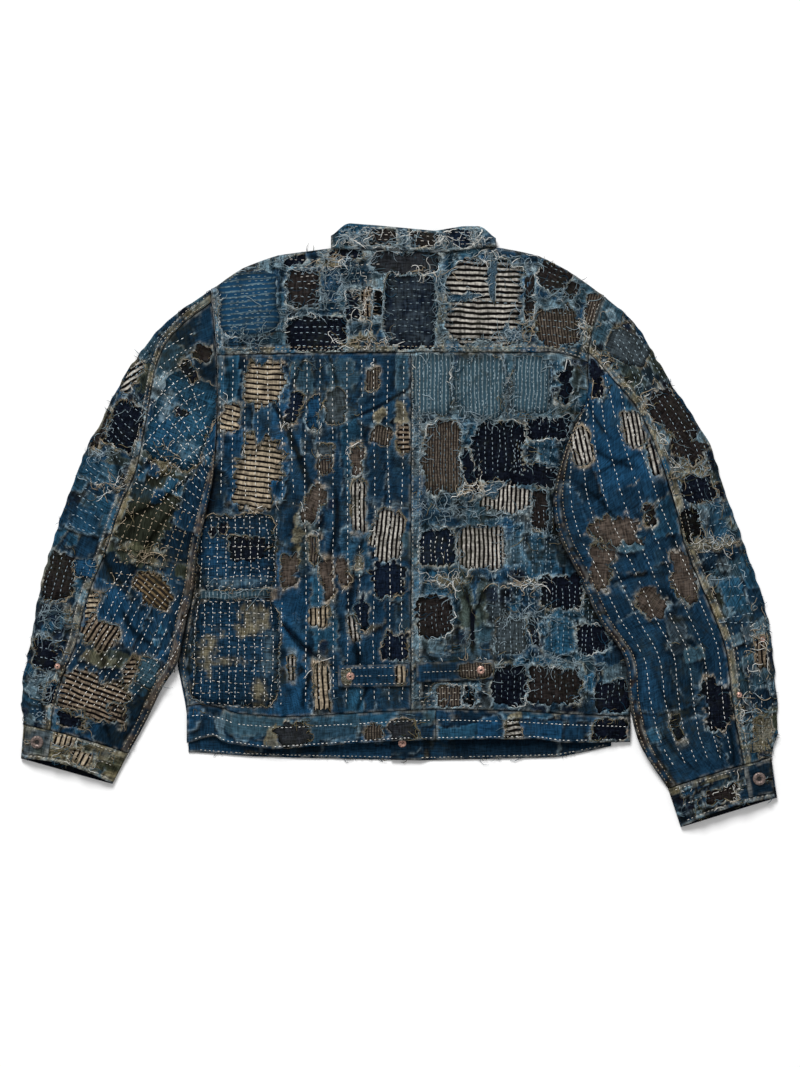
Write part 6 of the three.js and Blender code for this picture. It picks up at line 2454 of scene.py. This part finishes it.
def edge_threads(panel, kind, place, way, step=0):
    """Broken threads from a line of places on a panel, out past its edge, falling towards the surface."""
    chance = np.random.default_rng(EDGE_SEED[kind] + step)
    count = EDGE_COUNT[kind]
    line = np.broadcast_arrays(*place, *way)
    bunches = count // EDGE_BUNCH
    middles = chance.uniform(0, len(line[0]) - 1, bunches)
    at = middles[np.arange(count) % bunches] + chance.normal(0, EDGE_THREAD["spread"], count)
    x, y, out_x, out_y = (np.interp(at, np.arange(len(part)), part) for part in line)
    length = chance.gamma(EDGE_THREAD["shape"], EDGE_THREAD["scale"], count)
    length = length.clip(EDGE_THREAD["shortest"], EDGE_THREAD["longest"])[:, None]
    share = np.linspace(0, 1, EDGE_THREAD["points"])[None, :]
    turn = np.arctan2(out_y, out_x)[:, None] + chance.normal(0, EDGE_THREAD["turn"], (count, 1))
    turn = turn + chance.normal(0, EDGE_THREAD["bend"], (count, 1)) * share
    fall = chance.uniform(*EDGE_THREAD["fall"], (count, 1)) * length * share
    z = np.maximum(drop_on_top(panel, x, y)[:, None] - fall, EDGE_THREAD["lowest"])
    tone = thread_tones(chance, EDGE_INKS, count, EDGE_THREAD["tone"])
    x, y = x[:, None] + length * share * np.cos(turn), y[:, None] + length * share * np.sin(turn)
    EDGE_THREADS.setdefault(panel, []).append((x, y, z, tone))


def place_edge_threads():
    for step, side in enumerate(SIDES):
        along = np.linspace(0.1, LAST_SECTION, 90)
        for kind, panel, share, outward in (("sleeve", "top", 0.985, 0.05), ("inner", "under", 0.012, -0.05)):
            place = sleeve_place(side, along, share + 0 * along)
            beyond = sleeve_place(side, along, share + outward + 0 * along)
            way = [far - near for near, far in zip(place, beyond)]
            edge_threads(f"sleeve_{side}_{panel}", kind, place, way, step)
        share = np.linspace(0.03, 0.97, 40)
        place, beyond = (cuff_place(side, down, share, 1) for down in (0.97, 1.1))
        way = [far - near for near, far in zip(place, beyond)]
        edge_threads("cuff_" + side, "cuff", place, way, step)
        x = np.linspace(-250, 20, 60) if side == "left" else np.linspace(26, 262, 60)
        place = (x, between(FRONT_HEM, "x", x, "y") + 2)
        edge_threads("waistband_front_" + side, "hem", place, (0, -1), step)
    x = np.linspace(*SHOULDER_LINE["x"][[0, -1]], 160)
    edge_threads("yoke", "shoulder", (x, between(SHOULDER_LINE, "x", x, "y") - 3), (0.3 * np.sign(x), 1))
    x = np.linspace(-82, 116, 60)
    edge_threads("collar_back", "collar", (x, 371 + 0 * x), (0, 1))


def tube_faces(index):
    """Faces of three-sided tubes from the numbers of their points: tube, ring, corner."""
    sides = []
    for k in range(3):
        after = (k + 1) % 3
        corners = [index[:, :-1, k], index[:, :-1, after], index[:, 1:, after], index[:, 1:, k]]
        sides.append(np.stack(corners, -1).reshape(-1, 4))
    return np.vstack(sides), np.vstack([index[:, 0, ::-1], index[:, -1]])


def thread_tubes(panel, found):
    """Points, faces and colours of threads given with their heights, or lying on a panel."""
    x, y, tone = (np.vstack([part[k] for part in found]) for k in (0, 1, -1))
    z = np.vstack([part[2] for part in found]) if len(found[0]) == 4 else drop_on_top(panel, x, y)
    there = np.isfinite(z).all(1)
    x, y, z, tone = x[there], y[there], z[there], tone[there]
    count, steps = x.shape
    chance = np.random.default_rng(count)
    arch = TUBE["arch"] * np.sin(np.linspace(0, math.pi, steps))[None, :]
    lift = chance.uniform(*TUBE["lift"], (count, 1)) + arch
    line = np.stack([x, y, z + lift], -1)
    way = np.gradient(line, axis=1)
    aside = np.stack([-way[..., 1], way[..., 0], 0 * x], -1)
    aside /= np.maximum(np.linalg.norm(aside, axis=-1, keepdims=True), 1e-6)
    thin = np.ones(steps)
    thin[0], thin[-1] = TUBE["start"], TUBE["end"]
    radius = THREAD_RADIUS * chance.uniform(*TUBE["radius"], (count, 1, 1)) * thin[None, :, None]
    up = np.array([0, 0, 1.0])
    left, right = ((aside * TUBE["wide"] + up * low) * radius for low in (TUBE["low"], -TUBE["low"]))
    points = np.stack([line + up * radius, line - left, line + right], 2)
    sides, caps = tube_faces(np.arange(points.size // 3).reshape(count, steps, 3))
    return points.reshape(-1, 3), sides, caps, np.repeat(tone, steps * 3, axis=0)


def build_threads():
    """The threads of each panel, joined."""
    for panel in PANELS:
        kinds = [kind[panel] for kind in (THREADS, FRINGES, EDGE_THREADS) if panel in kind]
        parts = [thread_tubes(panel, found) for found in kinds]
        if not parts:
            continue
        starts = np.cumsum([0] + [len(part[0]) for part in parts])
        faces = [np.vstack([part[k] + start for part, start in zip(parts, starts)]) for k in (1, 2)]
        marks = {"tone": np.vstack([part[3] for part in parts])}
        points = np.vstack([part[0] for part in parts])
        piece = mesh_piece("threads_" + panel, points, faces, "thread", marks)
        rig.slot(piece, node_slot(panel))
        PANELS[panel]["with"].append(piece)


# Metal

METAL_SIDES = 48
METAL_BEVEL = 0.22
METAL_ANGLE = {"bevel": 35, "smooth": 40}  # degrees between faces
HOLLOW = {"ring": 0.36, "copper": 0.24}  # the dark middle of a stud, as a share of its radius
STUD_SINK = 0.4  # how far a stud's foot is in the cloth
# Steps of a stud's top from its rim to its middle: a slope inwards (in, up) or a wall (0, up)
STUD_TOP = {
    "ring_button": ((0.7, 0.9), (1.3, 0.55), (1.5, -0.3), (1.1, -0.8), (0.35, -0.25), (0, -1.1), (0.8, 0.1)),
    "domed_rivet": ((0.5, 0.5), (1.0, 0.45), (1.0, 0.1), (0.35, -0.3), (0.5, 0), (0.35, 0.35), (0.6, 0.12)),
    "small_dome": ((0.4, 0.4), (0.8, 0.3), (0.5, -0.2), (0.4, 0.3), (0.6, 0.1)),
    "tack_back": ((0.5, 0.3), (1.4, 0.25), (0.9, -0.25), (0.6, 0.2), (0.7, 0.05)),
}
# Studs: the part's node, the panel below, the radius, the height of the wall, the kind of top and the metal
STUDS = table("node panel radius wall top look", """
button_cuff_left cuff_left_end 8.0 2.2 ring_button ring
rivet_cinch_left cinch_left 5.2 1.2 domed_rivet copper
button_cuff_right cuff_right_end 8.0 2.2 ring_button ring
rivet_cinch_right cinch_right 5.2 1.2 domed_rivet copper
rivet_sleeve_left sleeve_left_top 3.6 1.0 small_dome copper
rivet_sleeve_right_upper sleeve_right_top 3.6 1.0 small_dome copper
rivet_sleeve_right_lower sleeve_right_top 3.6 1.0 small_dome copper
button_tack_hem waistband_front_right 5.0 0.9 tack_back copper
""")


def select_top(piece):
    """Selects the highest face that points up."""
    cage = bmesh.from_edit_mesh(piece.data)
    up = [face for face in cage.faces if face.normal.z > 0.9]
    best = max(up, key=lambda face: face.calc_center_median().z)
    for part in (*cage.faces, *cage.edges, *cage.verts):
        part.select = False
    best.select = True
    cage.select_flush_mode()
    bmesh.update_edit_mesh(piece.data)


def add_stud(row, x, y):
    """A stud on its panel, from a cylinder whose top is stepped inwards."""
    radius, wall, look = row["radius"], row["wall"], row["look"]
    foot = drop(row["panel"], np.array([x]), np.array([y]))[0] - STUD_SINK
    bpy.ops.object.select_all(action="DESELECT")
    bpy.ops.mesh.primitive_cylinder_add(vertices=METAL_SIDES, radius=radius * MM, depth=wall * MM)
    piece = bpy.context.object
    piece.name = "metal_" + row["node"]
    bpy.ops.object.mode_set(mode="EDIT")
    bpy.ops.mesh.select_mode(type="FACE")
    select_top(piece)
    for slope, rise in STUD_TOP[row["top"]]:
        if slope:
            bpy.ops.mesh.inset(thickness=slope * MM, depth=rise * MM, use_boundary=True)
        else:
            bpy.ops.mesh.extrude_region_move(TRANSFORM_OT_translate={"value": (0, 0, rise * MM)})
    bpy.ops.object.mode_set(mode="OBJECT")
    bevel = piece.modifiers.new("edges", "BEVEL")
    bevel.width = METAL_BEVEL * MM
    bevel.segments = 2
    bevel.angle_limit = math.radians(METAL_ANGLE["bevel"])
    bpy.ops.object.modifier_apply(modifier=bevel.name)
    bpy.ops.object.shade_smooth_by_angle(angle=math.radians(METAL_ANGLE["smooth"]))
    piece.data.transform(Matrix.Translation(Vector((x, y, foot + wall / 2)) * MM))
    piece.data.materials.append(MATERIAL[look])
    piece.data.materials.append(MATERIAL["hollow"])
    for face in piece.data.polygons:
        face.material_index = int(math.dist(face.center[:2], (x * MM, y * MM)) < HOLLOW[look] * radius * MM)
    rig.ride(piece, "root")
    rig.replaces(piece, row["node"])
    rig.slot(piece, "copper")


def build_metal():
    for row in STUDS:
        low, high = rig.box(row["node"])
        add_stud(row, *((low[k] + high[k]) / 2 / MM for k in range(2)))


# The whole jacket

for jacket_side in SIDES:
    build_front(jacket_side)
    build_waistband_front(jacket_side)
    build_collar_front(jacket_side)
    build_back(jacket_side)
    build_waistband_back(jacket_side)
    build_sleeve_under(jacket_side)
    build_sleeve_top(jacket_side)
    build_cuff(jacket_side)
    build_cuff_end(jacket_side)
build_yoke()
build_collar_back()
for jacket_side in SIDES:
    build_cinch(jacket_side)
build_patches()
place_stitches()
build_stitches()
place_threads()
place_edge_threads()
build_threads()
build_metal()

# What each sheet lies on, for each side
LIES_ON = {
    "front_{}": ["floor"],
    "waistband_front_{}": ["floor"],
    "collar_front_{}": ["floor"],
    "back_{}": ["cloth_front_{}"],
    "waistband_back_{}": ["cloth_waistband_front_{}"],
    "sleeve_{}_top": ["floor", "cloth_back_{}"],
    "sleeve_{}_under": ["cloth_sleeve_{}_top"],
    "cuff_{}": ["floor"],
    "cuff_{}_end": ["cloth_cuff_{}"],
    "cinch_{}": ["cloth_back_{}"],
}
LIES_ON_BOTH = {"yoke": "cloth_front_{}", "collar_back": "cloth_collar_front_{}"}


# Floor, light and camera

FLOOR = {"side": 14.0, "below": 0.0002}
CAMERA = {"x": 0.00125, "y": -0.0106, "height": 5.0, "field": 1.33375, "sensor": 36.0}
AMBIENT = 0.5
KEY = {"place": (-2.0, 6.6, 6.0), "size": 3.4, "power": 880.0}


def build_floor():
    bpy.ops.mesh.primitive_plane_add(size=FLOOR["side"])
    floor = bpy.context.object
    floor.name = "floor"
    floor.data.transform(Matrix.Translation((0, 0, -FLOOR["below"])))
    floor.data.materials.append(MATERIAL["floor"])
    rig.stage(floor)


def build_light():
    world = bpy.data.worlds.new("studio")
    world.use_nodes = True
    world.node_tree.nodes["Background"].inputs["Strength"].default_value = AMBIENT
    world.node_tree.nodes["Background"].inputs["Color"].default_value = (1, 1, 1, 1)
    bpy.context.scene.world = world
    light = bpy.data.lights.new("key", "AREA")
    light.size = KEY["size"]
    light.energy = KEY["power"]
    lamp = bpy.data.objects.new("key", light)
    lamp.location = KEY["place"]
    lamp.rotation_euler = Vector(KEY["place"]).to_track_quat("Z", "Y").to_euler()
    bpy.context.scene.collection.objects.link(lamp)


def build_camera():
    camera = bpy.data.cameras.new("camera")
    camera.sensor_width = CAMERA["sensor"]
    camera.lens = CAMERA["sensor"] * CAMERA["height"] / CAMERA["field"]
    holder = bpy.data.objects.new("camera", camera)
    holder.location = (CAMERA["x"], CAMERA["y"], CAMERA["height"])
    bpy.context.scene.collection.objects.link(holder)
    bpy.context.scene.camera = holder


build_floor()
build_light()
build_camera()
bpy.context.scene.view_settings.view_transform = "Standard"


# Sheets


def declare(name, below):
    panel = PANELS[name]
    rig.sheet(
        panel["piece"], flat=panel["flat"], held="laid", rests_on=below, area=panel["area"],
        with_pieces=panel["with"],
    )


for kind, below in LIES_ON.items():
    for jacket_side in SIDES:
        declare(kind.format(jacket_side), [name.format(jacket_side) for name in below])
for kind, below in LIES_ON_BOTH.items():
    declare(kind, [below.format(jacket_side) for jacket_side in SIDES])

with open("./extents.json", "w") as out:
    sizes = {"cad": CAD_BOX, "scene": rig.bounds()}
    json.dump({key: [list(corner) for corner in corners] for key, corners in sizes.items()}, out)
